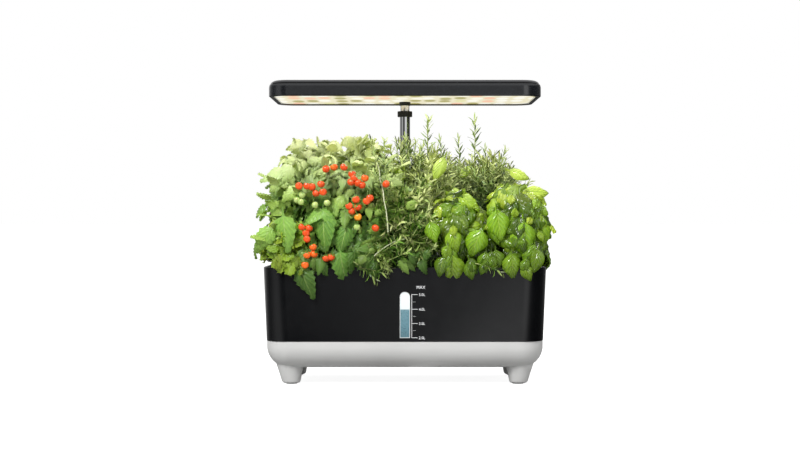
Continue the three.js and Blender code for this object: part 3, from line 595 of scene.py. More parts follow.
def waterAndAir():
    # pale air above the waterline, blue grey water with dark specks below, a thin bright meniscus
    material, tree, shader = newMaterial("windowPane")
    z = addNode(tree, "SeparateXYZ", {0: objectPlace(tree)}).outputs["Z"]
    height = mapRange(tree, z, window["bottom"], window["top"])
    line = (window["waterline"] - window["bottom"]) / (window["top"] - window["bottom"])
    water = ramp(tree, height, [
        (0, (0.105, 0.20, 0.235)),
        (0.25, (0.13, 0.26, 0.31)),
        (line - 0.02, (0.16, 0.30, 0.35)),
        (line - 0.01, (0.34, 0.46, 0.50)),
        (line + 0.01, (0.80, 0.89, 0.89)),
        (1, (0.86, 0.92, 0.92)),
    ])
    specks = ramp(tree, objectNoise(tree, 1400, 3), [(0.36, (0.25, 0.3, 0.33)), (0.44, (1, 1, 1))])
    below = ramp(tree, height, [(line - 0.02, (1, 1, 1)), (line - 0.01, (0, 0, 0))])
    setInputs(tree, shader, {"Base Color": mixed(tree, below, water, specks, "MULTIPLY"), "Roughness": 0.12})
    return material


def makeWindow():
    pane = windowBlock(-0.0001, -0.006, -0.0002)
    back = onFrontWall(0, (window["bottom"] + window["top"]) / 2)
    outward = back.to_3x3() @ Vector((0, 0, 1))
    editPiece(pane)
    pick(pane, "FACE", lambda f: f.normal.dot(outward) > 0.99)
    bpy.ops.mesh.inset(thickness=window["rim"])
    sunk = -window["sunk"] * outward
    extrudeBy(*sunk)
    finishPiece(pane, "levelWindow", "base", "clear_plastic", finishes["windowRim"], waterAndAir(),
                stands=["level_window"])
    for face in pane.data.polygons:  # the wide sunk face shows the water
        face.material_index = int(face.normal.dot(outward) > 0.99 and face.area > 0.0004)
    smooth(pane, 35)


# Level scale beside the window: a line, ticks and plain numbers, printed in white

scale = {
    "line": 0.0084,
    "lineWidth": 0.00048,
    "majorEnd": 0.0155,
    "minorStart": 0.0096,
    "minorEnd": 0.0132,
    "majors": [(0.1120, "5.0L"), (0.0940, "4.0L"), (0.0766, "3.0L"), (0.0591, "2.0L")],
    "minors": [0.1030, 0.0853, 0.0678],
    "numberStart": 0.0171,
    "numberHeight": 0.0034,
    "word": ("MAX", 0.0141, 0.1210, 0.0039),
    "proud": 0.00012,
}


def printedBar(left, right, low, high):
    bar = addBox((right - left, high - low, scale["proud"] * 2), -scale["proud"])
    bar.data.transform(onFrontWall((left + right) / 2, (low + high) / 2))
    return bar


def printedWord(text, left, z, height):
    deselect()
    bpy.ops.object.text_add()
    word = bpy.context.object
    word.data.body = text
    word.data.size = height * 1.37  # the font's capitals are 0.73 of its size
    word.data.extrude = scale["proud"]
    word.data.space_character = 1.02
    bpy.ops.object.convert(target="MESH")
    word = bpy.context.object
    word.data.transform(Matrix.Scale(0.93, 4, (1, 0, 0)))
    word.data.transform(onFrontWall(left, z) @ Matrix.Translation((0, -height / 2, 0)))
    return word


def makeScale():
    half = scale["lineWidth"] / 2
    thin = half * 0.4
    left, top, bottom = scale["line"] - half, scale["majors"][0][0], scale["majors"][-1][0]
    bars = [printedBar(left, scale["line"] + half, bottom - half, top + half)]
    words = [printedWord(*scale["word"])]
    for z, number in scale["majors"]:
        bars.append(printedBar(left, scale["majorEnd"], z - half, z + half))
        words.append(printedWord(number, scale["numberStart"], z, scale["numberHeight"]))
    for z in scale["minors"]:
        bars.append(printedBar(scale["minorStart"], scale["minorEnd"], z - thin, z + thin))
    finishPiece(joinAll(bars + words), "levelScale", "base", "grey_plastic", finishes["scaleInk"])


makeTank()
makeWindow()
makeScale()
print("tank, window and scale made")


# Lamp: a wide flat housing, split by a groove, with the lit panel sunk in its underside

lamp = {
    "width": 0.336,
    "depth": 0.175,
    "bottom": 0.355,
    "top": 0.375,
    "corner": 0.024,
    "topEdge": 0.0094,
    "bottomEdge": 0.0012,
    "groove": (0.3702, 0.3713),
    "lip": 0.0065,
    "recess": 0.0035,
    "panel": (0.3569, 0.3589),
    "grooveEdge": 0.0003,
    "tongueInset": 0.005,  # the tongue that closes the groove, dark with painted shade, stands this far in
    "keyWell": (0.0064, 0.3722, 0.378),
    "panelOverlap": 0.001,
    "panelEdge": 0.0004,
}


def lampBlock():
    block = addBox((lamp["width"], lamp["depth"], lamp["top"] - lamp["bottom"]), lamp["bottom"])
    editPiece(block)
    pick(block, "EDGE", upright)
    bevelBy(lamp["corner"], 16)
    pick(block, "EDGE", levelAt(lamp["top"]))
    bevelBy(lamp["topEdge"], 10)
    pick(block, "EDGE", levelAt(lamp["bottom"]))
    bevelBy(lamp["bottomEdge"], 3)
    return block


def keepPart(piece, height, keepAbove):  # bisects a closed block at a height and closes the cut
    editPiece(piece)
    bpy.ops.mesh.select_all(action="SELECT")
    bpy.ops.mesh.bisect(plane_co=(0, 0, height), plane_no=(0, 0, 1), use_fill=True,
                        clear_inner=keepAbove, clear_outer=not keepAbove)


def makeLamp():
    low, high = lamp["groove"]
    bezel = lampBlock()
    keepPart(bezel, low, False)
    pick(bezel, "EDGE", levelAt(low))
    bevelBy(lamp["grooveEdge"], 2)
    pick(bezel, "FACE", facing(lamp["bottom"], -1))
    bpy.ops.mesh.inset(thickness=lamp["lip"] - lamp["bottomEdge"])
    extrudeBy(z=lamp["recess"])
    smooth(bezel, 35)
    finishPiece(bezel, "lampBezel", "lamp", "lamp_plastic", finishes["lampBlack"], finishes["lipBlackGrooveShade"],
                stands=["lamp_bezel"])
    for face in bezel.data.polygons:
        face.material_index = int(face.normal.z < -0.7)

    # the tongue closes the groove; its darker, dull finish is the groove's painted shade
    inset = lamp["tongueInset"]
    tongue = addBox((lamp["width"] - 2 * inset, lamp["depth"] - 2 * inset, high - low + 0.002), low - 0.001)
    editPiece(tongue)
    pick(tongue, "EDGE", upright)
    bevelBy(lamp["corner"] - inset, 16)
    smooth(tongue, 35)
    finishPiece(tongue, "lampTongue", "lamp", "lamp_plastic", finishes["lipBlackGrooveShade"])

    cover = lampBlock()
    keepPart(cover, high, True)
    pick(cover, "EDGE", levelAt(high))
    bevelBy(lamp["grooveEdge"], 2)
    leaveEdit()
    for node in ("light_button", "pump_button"):
        cutWith(cover, addCylinder(*lamp["keyWell"], *middleOf(node), 40))
    smooth(cover, 35)
    finishPiece(cover, "lampCover", "lamp", "lamp_plastic", finishes["lampBlack"], stands=["lamp_cover"])


# Keys: round caps with a dished top

keys = {
    "radius": 0.006,
    "low": 0.3736,
    "high": 0.3758,
    "edge": 0.0006,
    "dish": ((0.0009, -0.00025), (0.002, -0.00015)),  # how far in each step of the dish is, and how deep
}


def makeKeys():
    for node, name, body in (("light_button", "lightKey", "light_key"), ("pump_button", "pumpKey", "pump_key")):
        cap = addCylinder(keys["radius"], keys["low"], keys["high"], *middleOf(node), 48)
        editPiece(cap)
        pick(cap, "EDGE", levelAt(keys["high"]))
        bevelBy(keys["edge"], 4)
        pick(cap, "FACE", facing(keys["high"], 1))
        for inset, depth in keys["dish"]:
            bpy.ops.mesh.inset(thickness=inset)
            extrudeBy(z=depth)
        smooth(cap, 30)
        finishPiece(cap, name, body, "button_grey", finishes["keyGrey"], stands=[node])


# Lit panel: a warm glow with soft spots over the LEDs

panelTints = [  # cool white, red, deep warm and warm white lamps behind the sheet
    (0.0, (1.0, 0.98, 0.88)), (0.34, (0.96, 0.58, 0.40)), (0.52, (0.44, 0.40, 0.15)), (0.68, (0.80, 0.78, 0.42)),
    (0.78, (1.0, 0.96, 0.82)),
]
panelSpot = (0.019, 0.046)  # width and depth of one lamp's place


def panelGlow():
    material, tree, shader = newMaterial("panelGlow")
    width, depth = panelSpot
    grid = {"Vector": objectPlace(tree), "Location": (0.5, 0.5, 0), "Scale": (1 / width, 1 / depth, 0)}
    cells = addNode(tree, "Mapping", grid).outputs[0]
    spots = addNode(tree, "TexVoronoi", {"Vector": cells, "Scale": 1, "Randomness": 0.35}, voronoi_dimensions="2D")
    lampKind = addNode(tree, "SeparateColor", {0: spots.outputs["Color"]}).outputs["Red"]
    tint = ramp(tree, lampKind, panelTints)
    tint.node.color_ramp.interpolation = "CONSTANT"
    near = ramp(tree, spots.outputs["Distance"], [(0.3, (1, 1, 1)), (0.5, (0, 0, 0))])
    setInputs(tree, shader, {
        "Emission Color": mixed(tree, near, (0.86, 0.80, 0.58), tint),
        "Emission Strength": 0.92,
        "Base Color": (0.1, 0.1, 0.09),
        "Roughness": 0.6,
        "Specular IOR Level": 0.02,
    })
    return material


def makePanel():
    low, high = lamp["panel"]
    inner = 2 * (lamp["lip"] - lamp["panelOverlap"])
    panel = addBox((lamp["width"] - inner, lamp["depth"] - inner, high - low), low)
    editPiece(panel)
    pick(panel, "EDGE", upright)
    bevelBy(lamp["corner"] - inner / 2, 12)
    pick(panel, "EDGE", levelAt(low))
    bevelBy(lamp["panelEdge"], 2)
    smooth(panel, 35)
    finishPiece(panel, "litPanel", "lamp", "lit_panel", panelGlow(), stands=["lamp_diffuser"])


# Mast: bright tubes, a dark friction collar, the boss under the lamp and the socket on the deck

mast = {
    "y": 0.047,
    "lower": (0.0068, 0.1213, 0.340),
    "upper": (0.006, 0.150, 0.3617),
    "collar": (0.00965, 0.3373, 0.3447),
    "boss": (0.0074, 0.352, 0.3569),
    "socket": (0.0092, 0.118, 0.158),
    "socketFlange": (0.014, 0.1413, 0.1438),
    "socketEdges": {"socket": 0.0008, "socketFlange": 0.0012},
}
tubes = [  # size, piece, body, slot, finish, node, edge
    ("lower", "lowerTube", "deck", "chrome", finishes["polishedChrome"], "mast_lower_tube", 0.0002),
    ("upper", "upperTube", "lamp", "chrome", finishes["satinChrome"], "mast_upper_tube", 0.0001),
    ("collar", "mastCollar", "deck", "black_plastic", finishes["deckBlack"], "mast_collar", 0.0007),
    ("boss", "lampBoss", "lamp", "black_plastic", finishes["deckBlack"], "lamp_boss", 0.0006),
]


def postOf(size, sides, edge, *heights):  # a round post on the mast's axis, its edges at these heights softened
    post = addCylinder(*size, 0, mast["y"], sides)
    editPiece(post)
    pick(post, "EDGE", lambda e: any(levelAt(z)(e) for z in heights))
    bevelBy(edge, 3)
    leaveEdit()
    return post


def makeMast():
    for size, name, body, slot, finish, node, edge in tubes:
        tube = postOf(mast[size], 64, edge, *mast[size][1:])
        smooth(tube, 35)
        finishPiece(tube, name, body, slot, finish, stands=[node])
    both = joinAll([postOf(mast[part], 56, edge, mast[part][2]) for part, edge in mast["socketEdges"].items()])
    smooth(both, 35)
    finishPiece(both, "mastSocket", "deck", "black_plastic", finishes["deckBlack"], stands=["mast_socket"])


# Grow sponges: tapered foam plugs with soft edges and a bore for the stem

sponge = {
    "topRadius": 0.0133,
    "bottomRadius": 0.0093,
    "edge": 0.0018,
    "bore": 0.0033,
    "rings": 7,
    "unevenness": 0.00022,
}


def foamFinish():
    # dark peat foam: open pits and brown flecks
    material, tree, shader = newMaterial("peatFoam")
    tones = [(0.35, (0.018, 0.013, 0.009)), (0.6, (0.055, 0.040, 0.026)), (0.75, (0.14, 0.10, 0.06))]
    pits = addNode(tree, "TexVoronoi", {"Vector": objectPlace(tree), "Scale": 900}).outputs["Distance"]
    setInputs(tree, shader, {
        "Base Color": ramp(tree, objectNoise(tree, 700, 4), tones),
        "Normal": bump(tree, pits, 0.7, 0.0005),
        "Roughness": 0.95,
        "Specular IOR Level": 0.1,
        "Sheen Weight": 0.15,
    })
    return material


def makeSponges():
    low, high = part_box("sponge_1")
    height = high.z - low.z
    hand = random.Random(5)
    plug = addCone(28, sponge["bottomRadius"], sponge["topRadius"], height, (0, 0, low.z + height / 2))
    editPiece(plug)
    pick(plug, "EDGE", lambda e: levelAt(low.z)(e) or levelAt(high.z)(e))
    bevelBy(sponge["edge"], 4)
    for ring in range(1, sponge["rings"]):
        bpy.ops.mesh.select_all(action="SELECT")
        bpy.ops.mesh.bisect(plane_co=(0, 0, low.z + height * ring / sponge["rings"]), plane_no=(0, 0, 1))
    cutWith(plug, addCylinder(sponge["bore"], low.z - 0.001, high.z + 0.001, 0, 0, 24))
    foam = foamFinish()
    for i in range(1, 10):
        copy = newPiece(f"growSponge{i}", plug.data.copy())
        for vertex in copy.data.vertices:  # each plug is a little uneven, as cut foam is
            reach = vertex.co.xy.length
            if reach > sponge["bore"] * 1.2:
                vertex.co.xy *= 1 - hand.uniform(0, sponge["unevenness"]) / reach
        copy.data.transform(Matrix.Translation((*middleOf(f"sponge_{i}"), 0)))
        smooth(copy, 50)
        finishPiece(copy, f"growSponge{i}", "deck", "grow_foam", foam, stands=[f"sponge_{i}"])
    bpy.data.objects.remove(plug)


makeLamp()
makeKeys()
makePanel()
makeMast()
makeSponges()
print("lamp, mast and sponges made")


flaggedOff = {  # each lamp is flagged off the glossy pieces on which it would leave a hot spot
    **{light: ("lampCover", "lampBezel") for light in ("keyLamp", "backLamp", "fillLamp")},
    "growLamp": ("upperTube", "lampBoss", "mastCollar", "lowerTube"),
}

for light, names in flaggedOff.items():
    covered = bpy.data.collections.new(f"{light}Flag")
    for name in names:
        covered.objects.link(bpy.data.objects[name])
    for held in covered.collection_objects:
        held.light_linking.link_state = "EXCLUDE"
    bpy.data.objects[light].light_linking.receiver_collection = covered


# CAD pieces that stay get their finishes

keptFinishes = {
    "grow_deck": finishes["deckBlack"],
    "refill_hatch": finishes["deckBlack"],
    "hatch_pin": finishes["pinSteel"],
    "pump_body": finishes["deckBlack"],
    "pump_cover": finishes["deckBlack"],
    "pump_impeller": finishes["boardWhite"],
    "dc_inlet": finishes["deckBlack"],
    "window_gasket": finishes["rubberBlack"],
    "led_board": finishes["boardWhite"],
    "control_board": finishes["boardGreen"],
    **{f"pad_{end}_{side}": finishes["rubberBlack"] for end in ("front", "rear") for side in ("left", "right")},
    **{f"basket_{i}": finishes["deckBlack"] for i in range(1, 10)},
}

for node, material in keptFinishes.items():
    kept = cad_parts[node]
    for index in range(len(kept.data.materials)):
        kept.data.materials[index] = material


# Leaves: each kind is drawn once, flat and growing along Y, then bent, copied and set on its plant

grower = random.Random(11)


def leafFinish(name, deep, mid, pale, vein, lampLit, roughness, sideVeins=0, slant=0, glow=0.1, puff=0.3,
               wash=0.9, lowShade=0.5, gloss=0.4):
    # colour by each leaf's own tint and its painted shade, veins along the leaf's own map, light through the blade
    material, tree, shader = newMaterial(name)
    tint, shade = (addNode(tree, "Attribute", attribute_name=kind).outputs["Fac"] for kind in ("tint", "shade"))
    colour = ramp(tree, tint, [(0.0, deep), (0.5, mid), (1.0, pale)])
    mottle = objectNoise(tree, 160, 3)
    patch = ramp(tree, mottle, [(0.32, (0.72, 0.76, 0.7)), (0.68, (1.0, 1.0, 1.0))])
    blade = mixed(tree, 1.0, colour, patch, "MULTIPLY")
    if sideVeins:
        across, along, flat = addNode(tree, "SeparateXYZ", {0: addNode(tree, "UVMap").outputs[0]}).outputs
        fromRib = calc(tree, "ABSOLUTE", calc(tree, "SUBTRACT", across, 0.5))
        turns = calc(tree, "SUBTRACT", calc(tree, "MULTIPLY", along, sideVeins),
                     calc(tree, "MULTIPLY", fromRib, slant))
        fromVein = calc(tree, "ABSOLUTE", calc(tree, "SUBTRACT", calc(tree, "FRACT", turns), 0.5))
        ribLine = calc(tree, "LESS_THAN", fromRib, 0.022)
        sideLine = calc(tree, "MULTIPLY", calc(tree, "GREATER_THAN", fromVein, 0.44), 0.55)
        blade = mixed(tree, calc(tree, "MAXIMUM", sideLine, ribLine), blade, vein)
        swell = calc(tree, "SUBTRACT", 0.5, fromVein)
        blade = mixed(tree, calc(tree, "MULTIPLY", swell, 0.6), blade, pale)  # painted highlight: paler where it swells between veins
        swell = calc(tree, "SUBTRACT", swell, calc(tree, "MULTIPLY", ribLine, 0.6))
        setInputs(tree, shader, {"Normal": bump(tree, swell, puff, 0.0012)})
    # painted shade: a leaf's shade attribute darkens it where it stands in the other leaves' shadow
    lit = ramp(tree, shade, [(0.0, (0.10, 0.12, 0.09)), (1.0, (1.0, 1.0, 1.0))])
    blade = mixed(tree, 1.0, blade, lit, "MULTIPLY")
    z = addNode(tree, "SeparateXYZ", {0: objectPlace(tree)}).outputs["Z"]
    under = mapRange(tree, z, 0.125, 0.185, lowShade)  # the lowest leaves stay deep green in the others' shade
    blade = addNode(tree, "VectorMath", {0: blade, "Scale": under}, operation="SCALE").outputs[0]
    rise = mapRange(tree, z, 0.225, 0.290, 0.0, wash)  # the top leaves are pale in the lamp's light
    blade = mixed(tree, calc(tree, "MULTIPLY", rise, shade), blade, lampLit)
    setInputs(tree, shader, {
        "Base Color": blade,
        "Roughness": spread(tree, mottle, roughness - 0.06, roughness + 0.08),
        "Specular IOR Level": gloss,
    })
    through = addNode(tree, "BsdfTranslucent", {"Color": mixed(tree, 1.0, blade, (1.0, 0.95, 0.45), "MULTIPLY")})
    setInputs(tree, tree.nodes["Material Output"], {"Surface": mixShaders(tree, glow, shader, through)})
    return material


leafLooks = {
    "tomato": {"deep": (0.028, 0.14, 0.016), "mid": (0.15, 0.41, 0.045), "pale": (0.54, 0.78, 0.16),
               "vein": (0.34, 0.52, 0.14), "lampLit": (0.84, 0.89, 0.50), "roughness": 0.36,
               "sideVeins": 6, "slant": 5, "glow": 0.22, "puff": 0.6},
    "basil": {"deep": (0.045, 0.18, 0.006), "mid": (0.22, 0.50, 0.012), "pale": (0.68, 0.86, 0.07),
              "vein": (0.40, 0.62, 0.08), "lampLit": (0.72, 0.88, 0.22), "roughness": 0.22,
              "sideVeins": 6, "slant": 6, "glow": 0.2, "puff": 1.0, "wash": 0.8, "lowShade": 0.45, "gloss": 0.8},
    "lettuce": {"deep": (0.10, 0.28, 0.01), "mid": (0.34, 0.60, 0.02), "pale": (0.68, 0.84, 0.10),
                "vein": (0.5, 0.64, 0.2), "lampLit": (0.7, 0.8, 0.3), "roughness": 0.36,
                "sideVeins": 5, "slant": 6, "glow": 0.28, "puff": 0.6, "wash": 0.8, "lowShade": 0.8},
    "herb": {"deep": (0.04, 0.17, 0.015), "mid": (0.28, 0.54, 0.05), "pale": (0.88, 0.96, 0.38),
             "vein": (0.4, 0.5, 0.2), "lampLit": (0.76, 0.84, 0.38), "roughness": 0.4,
             "glow": 0.15, "lowShade": 0.85},
    "rosemary": {"deep": (0.045, 0.13, 0.032), "mid": (0.26, 0.45, 0.11), "pale": (0.82, 0.90, 0.36),
                 "vein": (0.3, 0.4, 0.2), "lampLit": (0.62, 0.72, 0.34), "roughness": 0.4, "wash": 0.35},
}
greens = {name: leafFinish(f"{name}Green", **look) for name, look in leafLooks.items()}


def makeBlade(length, width, outline, columns, fold, edgeDrop, pucker, frill=0, stalk=0):
    rows = len(outline) - 1
    deselect()
    bpy.ops.mesh.primitive_grid_add(x_subdivisions=columns, y_subdivisions=rows, size=1)
    bpy.context.object.scale = (width, length, 1)
    bpy.context.object.location = (0, length / 2, 0)
    blade = applyPlace()
    editPiece(blade)
    half = width / 2
    for column in range(columns + 1):  # fold at the rib, drop at the edges
        share = abs(2 * column / columns - 1)
        x = half * (2 * column / columns - 1)
        pick(blade, "VERT", lambda v: abs(v.co.x - x) < 1e-6)
        slide(z=fold * math.sin(share * math.pi * 0.8) - edgeDrop * share ** 3)
    for row, reach in enumerate(outline):  # the outline, and the swelling between side veins
        y = length * row / rows
        inRow = lambda v: abs(v.co.y - y) < 1e-6
        pick(blade, "VERT", lambda v: inRow(v) and 0.1 * half < abs(v.co.x) < 0.9 * half)
        slide(z=pucker * (1 if row % 2 else -1))
        for side in (-1, 1):
            pick(blade, "VERT", lambda v: inRow(v) and v.co.x * side > 0.9 * half)
            slide(z=frill * (1 if (row + (side > 0)) % 2 else -1))
        pick(blade, "VERT", inRow)
        bpy.ops.transform.resize(value=(max(reach, 0.02), 1, 1), center_override=(0, y, 0))
    if stalk:
        pick(blade, "EDGE", lambda e: all(v.co.y < 1e-6 for v in e.verts))
        extrudeBy(y=-stalk)
        bpy.ops.transform.resize(value=(0.3, 1, 1), center_override=(0, -stalk, 0))
    bpy.ops.mesh.select_all(action="SELECT")
    bpy.ops.mesh.remove_doubles(threshold=0.00005)
    shadeSmooth(blade)
    return blade


def bend(mesh, length, droop, twist, cup, width):  # a leaf's own droop, twist and cupping
    for vertex in mesh.vertices:
        x, y, z = vertex.co
        share = max(y, 0) / length
        z += cup * (2 * x / width) ** 2
        turn = twist * share
        x, z = x * math.cos(turn) - z * math.sin(turn), x * math.sin(turn) + z * math.cos(turn)
        angle = droop * share
        if y > 0 and abs(droop) > 0.01:
            radius = length / droop
            up = z * math.cos(angle) - radius * (1 - math.cos(angle))
            y, z = radius * math.sin(angle) + z * math.sin(angle), up
        vertex.co = (x, y, z)


def makeVariants(model, length, width, droops, twist, cup):
    variants = []
    for i in range(6):
        mesh = model.data.copy()
        droop = droops[0] + (droops[1] - droops[0]) * i / 5
        bend(mesh, length, droop, grower.uniform(-twist, twist), grower.uniform(-cup, cup), width)
        variants.append(mesh)
    bpy.data.objects.remove(model)
    return variants


leaves = {
    "basil": {"length": 0.042, "width": 0.030, "columns": 6, "fold": 0.0042, "edgeDrop": 0.0085, "pucker": 0.0009,
              "stalk": 0.009, "droops": (0.6, 1.9), "twist": 0.4, "cup": 0.001,
              "outline": [0.12, 0.66, 0.92, 1.0, 0.97, 0.85, 0.64, 0.36, 0.02]},
    "tomato": {"length": 0.040, "width": 0.025, "columns": 4, "fold": 0.002, "edgeDrop": 0.004, "pucker": 0.0009,
               "frill": 0.0010, "stalk": 0.010, "droops": (0.3, 1.6), "twist": 0.8, "cup": 0.002,
               "outline": [0.12, 0.84, 0.78, 1.08, 0.86, 1.02, 0.76, 0.86, 0.56, 0.62, 0.32, 0.30, 0.02]},
    "lettuce": {"length": 0.040, "width": 0.036, "columns": 6, "fold": 0.001, "edgeDrop": -0.002, "pucker": 0.0014,
                "frill": 0.0050, "stalk": 0.006, "droops": (0.2, 1.3), "twist": 0.5, "cup": 0.002,
                "outline": [0.22, 0.5, 0.72, 0.92, 0.98, 1.06, 0.96, 0.86, 0.45]},
    "narrow": {"length": 0.022, "width": 0.0050, "columns": 2, "fold": 0.0, "edgeDrop": -0.0005, "pucker": 0.0,
               "droops": (0.1, 0.9), "twist": 0.5, "cup": 0.0,
               "outline": [0.35, 1.0, 0.95, 0.6, 0.04]},
    "needle": {"length": 0.0150, "width": 0.0034, "columns": 2, "fold": 0.0, "edgeDrop": 0.0005, "pucker": 0.0,
               "droops": (-0.2, 0.35), "twist": 0.3, "cup": 0.0,
               "outline": [0.6, 1.0, 0.85, 0.15]},
}

variants = {}
for kind, shape in leaves.items():
    own = {name: shape[name] for name in ("droops", "twist", "cup")}
    blade = makeBlade(**{name: value for name, value in shape.items() if name not in own})
    variants[kind] = makeVariants(blade, shape["length"], shape["width"], **own)
print("leaves drawn")


def leafMatrix(root, along, up, size=1.0):  # sets a drawn leaf on its root, blade along a direction
    along = along.normalized()
    side = along.cross(up)
    if side.length < 1e-4:
        side = along.cross(Vector((1, 0.3, 0)))
    side.normalize()
    turn = Matrix((side, along, side.cross(along))).transposed().to_4x4()
    return Matrix.Translation(root) @ turn @ Matrix.Diagonal((size, size, size, 1))


def setTint(mesh, tint, shade):
    # shade is painted shade: low for leaves that stand in the others' shadow, 1 in full light
    for name, value in (("tint", tint), ("shade", shade)):
        layer = mesh.attributes.get(name) or mesh.attributes.new(name, "FLOAT", "POINT")
        layer.data.foreach_set("value", [value] * len(mesh.vertices))


def copyOf(mesh, place, tint, shade, material=None):
    copy = mesh.copy()
    copy.transform(place)
    if tint is not None:
        setTint(copy, tint, shade)
    return newPiece("copy", copy, material)


# Sprigs: a thin stem with narrow leaves or needles in turn round it, growing along Y

sprigs = {
    "rosemary": {"leaf": "needle", "length": 0.070, "leaves": 36, "open": (1.35, 0.55), "size": (1.0, 0.6),
                 "stem": 0.0010, "curve": 0.7},
    "fineHerb": {"leaf": "narrow", "length": 0.062, "leaves": 22, "open": (1.25, 0.5), "size": (1.15, 0.65),
                 "stem": 0.0009, "curve": 0.9},
    "tomatoSpray": {"leaf": "tomato", "length": 0.050, "leaves": 7, "open": (1.25, 0.75), "size": (0.45, 0.62),
                    "stem": 0.0009, "curve": 1.3, "paired": True},
}


def makeSprig(shape):
    length, paired = shape["length"], shape.get("paired")
    stem = addCone(5, shape["stem"], shape["stem"] * 0.4, length * 1.1, (0, length * 0.45, 0), **alongY)
    editPiece(stem)
    bpy.ops.mesh.select_all(action="SELECT")
    for cut in range(1, 6):
        bpy.ops.mesh.bisect(plane_co=(0, length * (cut / 6 * 1.1 - 0.1), 0), plane_no=(0, 1, 0))
        bpy.ops.mesh.select_all(action="SELECT")
    shadeSmooth(stem)
    setTint(stem.data, 0.95, 0.75)
    parts = [stem]
    for i in range(shape["leaves"]):
        share = (i // 2 * 2 + 1.2) / shape["leaves"] if paired else (i + 0.5) / shape["leaves"]
        around = math.pi * (i % 2) if paired else i * 2.4 + grower.uniform(-0.3, 0.3)
        opening = shape["open"][0] + (shape["open"][1] - shape["open"][0]) * share + grower.uniform(-0.15, 0.15)
        if paired and i == shape["leaves"] - 1:
            opening = 0
        outward = Vector((math.cos(around), 0, math.sin(around)))
        along = Vector((0, 1, 0)) * math.cos(opening) + outward * math.sin(opening)
        size = (shape["size"][0] + (shape["size"][1] - shape["size"][0]) * share) * grower.uniform(0.8, 1.15)
        up = Vector((0, 0, 1)) if paired else Vector((0, 1, 0))
        place = leafMatrix(Vector((0, share * length, 0)), along, up, size)
        tint = min(1, max(0, 0.2 + 0.5 * share + grower.uniform(-0.3, 0.35)))
        # painted shade: some needles are darker, as in the others' shadow
        shade = 1.0 if paired else grower.choice((0.15, 0.45, 0.9, 1.0, 1.0))
        parts.append(copyOf(grower.choice(variants[shape["leaf"]]), place, tint, shade))
    return joinAll(parts)


for kind, shape in sprigs.items():
    made = []
    for i in range(5):
        sprig = makeSprig(shape)
        mesh = sprig.data.copy()
        bend(mesh, shape["length"], shape["curve"] * grower.uniform(-1, 1.2), grower.uniform(-0.5, 0.5), 0, 1)
        bpy.data.objects.remove(sprig)
        made.append(mesh)
    variants[kind] = made
print("sprigs made")


# Fruit: a small round tomato with its five pointed sepals and a stalk

fruit = {
    "radius": 0.00475,
    "dimple": 0.0008,
    "sepal": 0.0045,
    "stalk": 0.009,
}


def fruitFinish(name, low, high):
    material, tree, shader = newMaterial(name)
    skin = objectNoise(tree, 220, 3)
    setInputs(tree, shader, {
        "Base Color": ramp(tree, skin, [(0.3, low), (0.7, high)]),
        "Roughness": spread(tree, skin, 0.16, 0.26),
        "Subsurface Weight": 0.15,
        "Subsurface Radius": (0.003, 0.001, 0.0005),
        "Subsurface Scale": 1.0,
    })
    return material


fruitSkins = {
    "red": fruitFinish("fruitRed", (0.70, 0.055, 0.008), (0.86, 0.12, 0.02)),
    "turning": fruitFinish("fruitTurning", (0.80, 0.10, 0.010), (0.88, 0.18, 0.02)),
    "orange": fruitFinish("fruitOrange", (0.80, 0.24, 0.012), (0.88, 0.38, 0.03)),
    "unripe": fruitFinish("fruitUnripe", (0.36, 0.50, 0.12), (0.52, 0.64, 0.22)),
}


def makeFruit():
    deselect()
    bpy.ops.mesh.primitive_uv_sphere_add(segments=14, ring_count=9, radius=fruit["radius"])
    ball = bpy.context.object
    editPiece(ball)
    pick(ball, "VERT", lambda v: v.co.z > 0.9 * fruit["radius"])
    slide(z=-fruit["dimple"])
    bpy.ops.mesh.select_all(action="SELECT")
    bpy.ops.transform.resize(value=(1, 1, 0.94))
    shadeSmooth(ball)

    deselect()
    bpy.ops.mesh.primitive_circle_add(vertices=10, radius=fruit["sepal"], fill_type="TRIFAN",
                                      location=(0, 0, fruit["radius"] * 0.86))
    cap = applyPlace()
    editPiece(cap)
    fifth = math.pi / 5
    pick(cap, "VERT", lambda v: v.co.xy.length > 0.001 and round(math.atan2(v.co.y, v.co.x) / fifth) % 2 == 1)
    bpy.ops.transform.resize(value=(0.26, 0.26, 1), center_override=(0, 0, fruit["radius"]))
    pick(cap, "VERT", lambda v: v.co.xy.length > 0.6 * fruit["sepal"])
    slide(z=-fruit["radius"] * 0.12)
    long = fruit["stalk"]
    stalk = addCone(5, 0.0005, 0.0004, long, (0, 0, fruit["radius"] * 0.85 + long / 2), end_fill_type="NOTHING")
    return ball, joinAll([cap, stalk])


fruitBall, fruitCalyx = makeFruit()
print("fruit made")


# Where the photograph shows things: pixels of its frame laid on an upright plane at a depth

photoView = {"pixels": 1533, "middle": (404.9, 215)}  # pixels to a metre at one metre, and the point looked at


def atPixel(px, py, y):
    eyeX, eyeY, eyeZ = cameraPlace["eye"]
    middleX, middleY = photoView["middle"]
    metres = (y - eyeY) / photoView["pixels"]
    return Vector(((px - middleX) * metres, y, eyeZ + (middleY - py) * metres))


limits = {
    "x": 0.190,
    "y": 0.1015,
    "top": 0.345,
    "tops": {"tomato": 0.309, "tomatoSpray": 0.312, "basil": 0.260, "lettuce": 0.205},
    "shoulders": {"kinds": ("tomato", "tomatoSpray"), "left": -0.125, "right": -0.045, "fall": 12},
    "mast": 0.0125,
    "flap": ((0.117, 0.006), (0.172, 0.068), 0.186),  # the refill flap opens through here
    "rim": 0.149,
    "outside": (0.1785, 0.0895),  # lower than the rim, leaves hang only outside the tank's walls
}


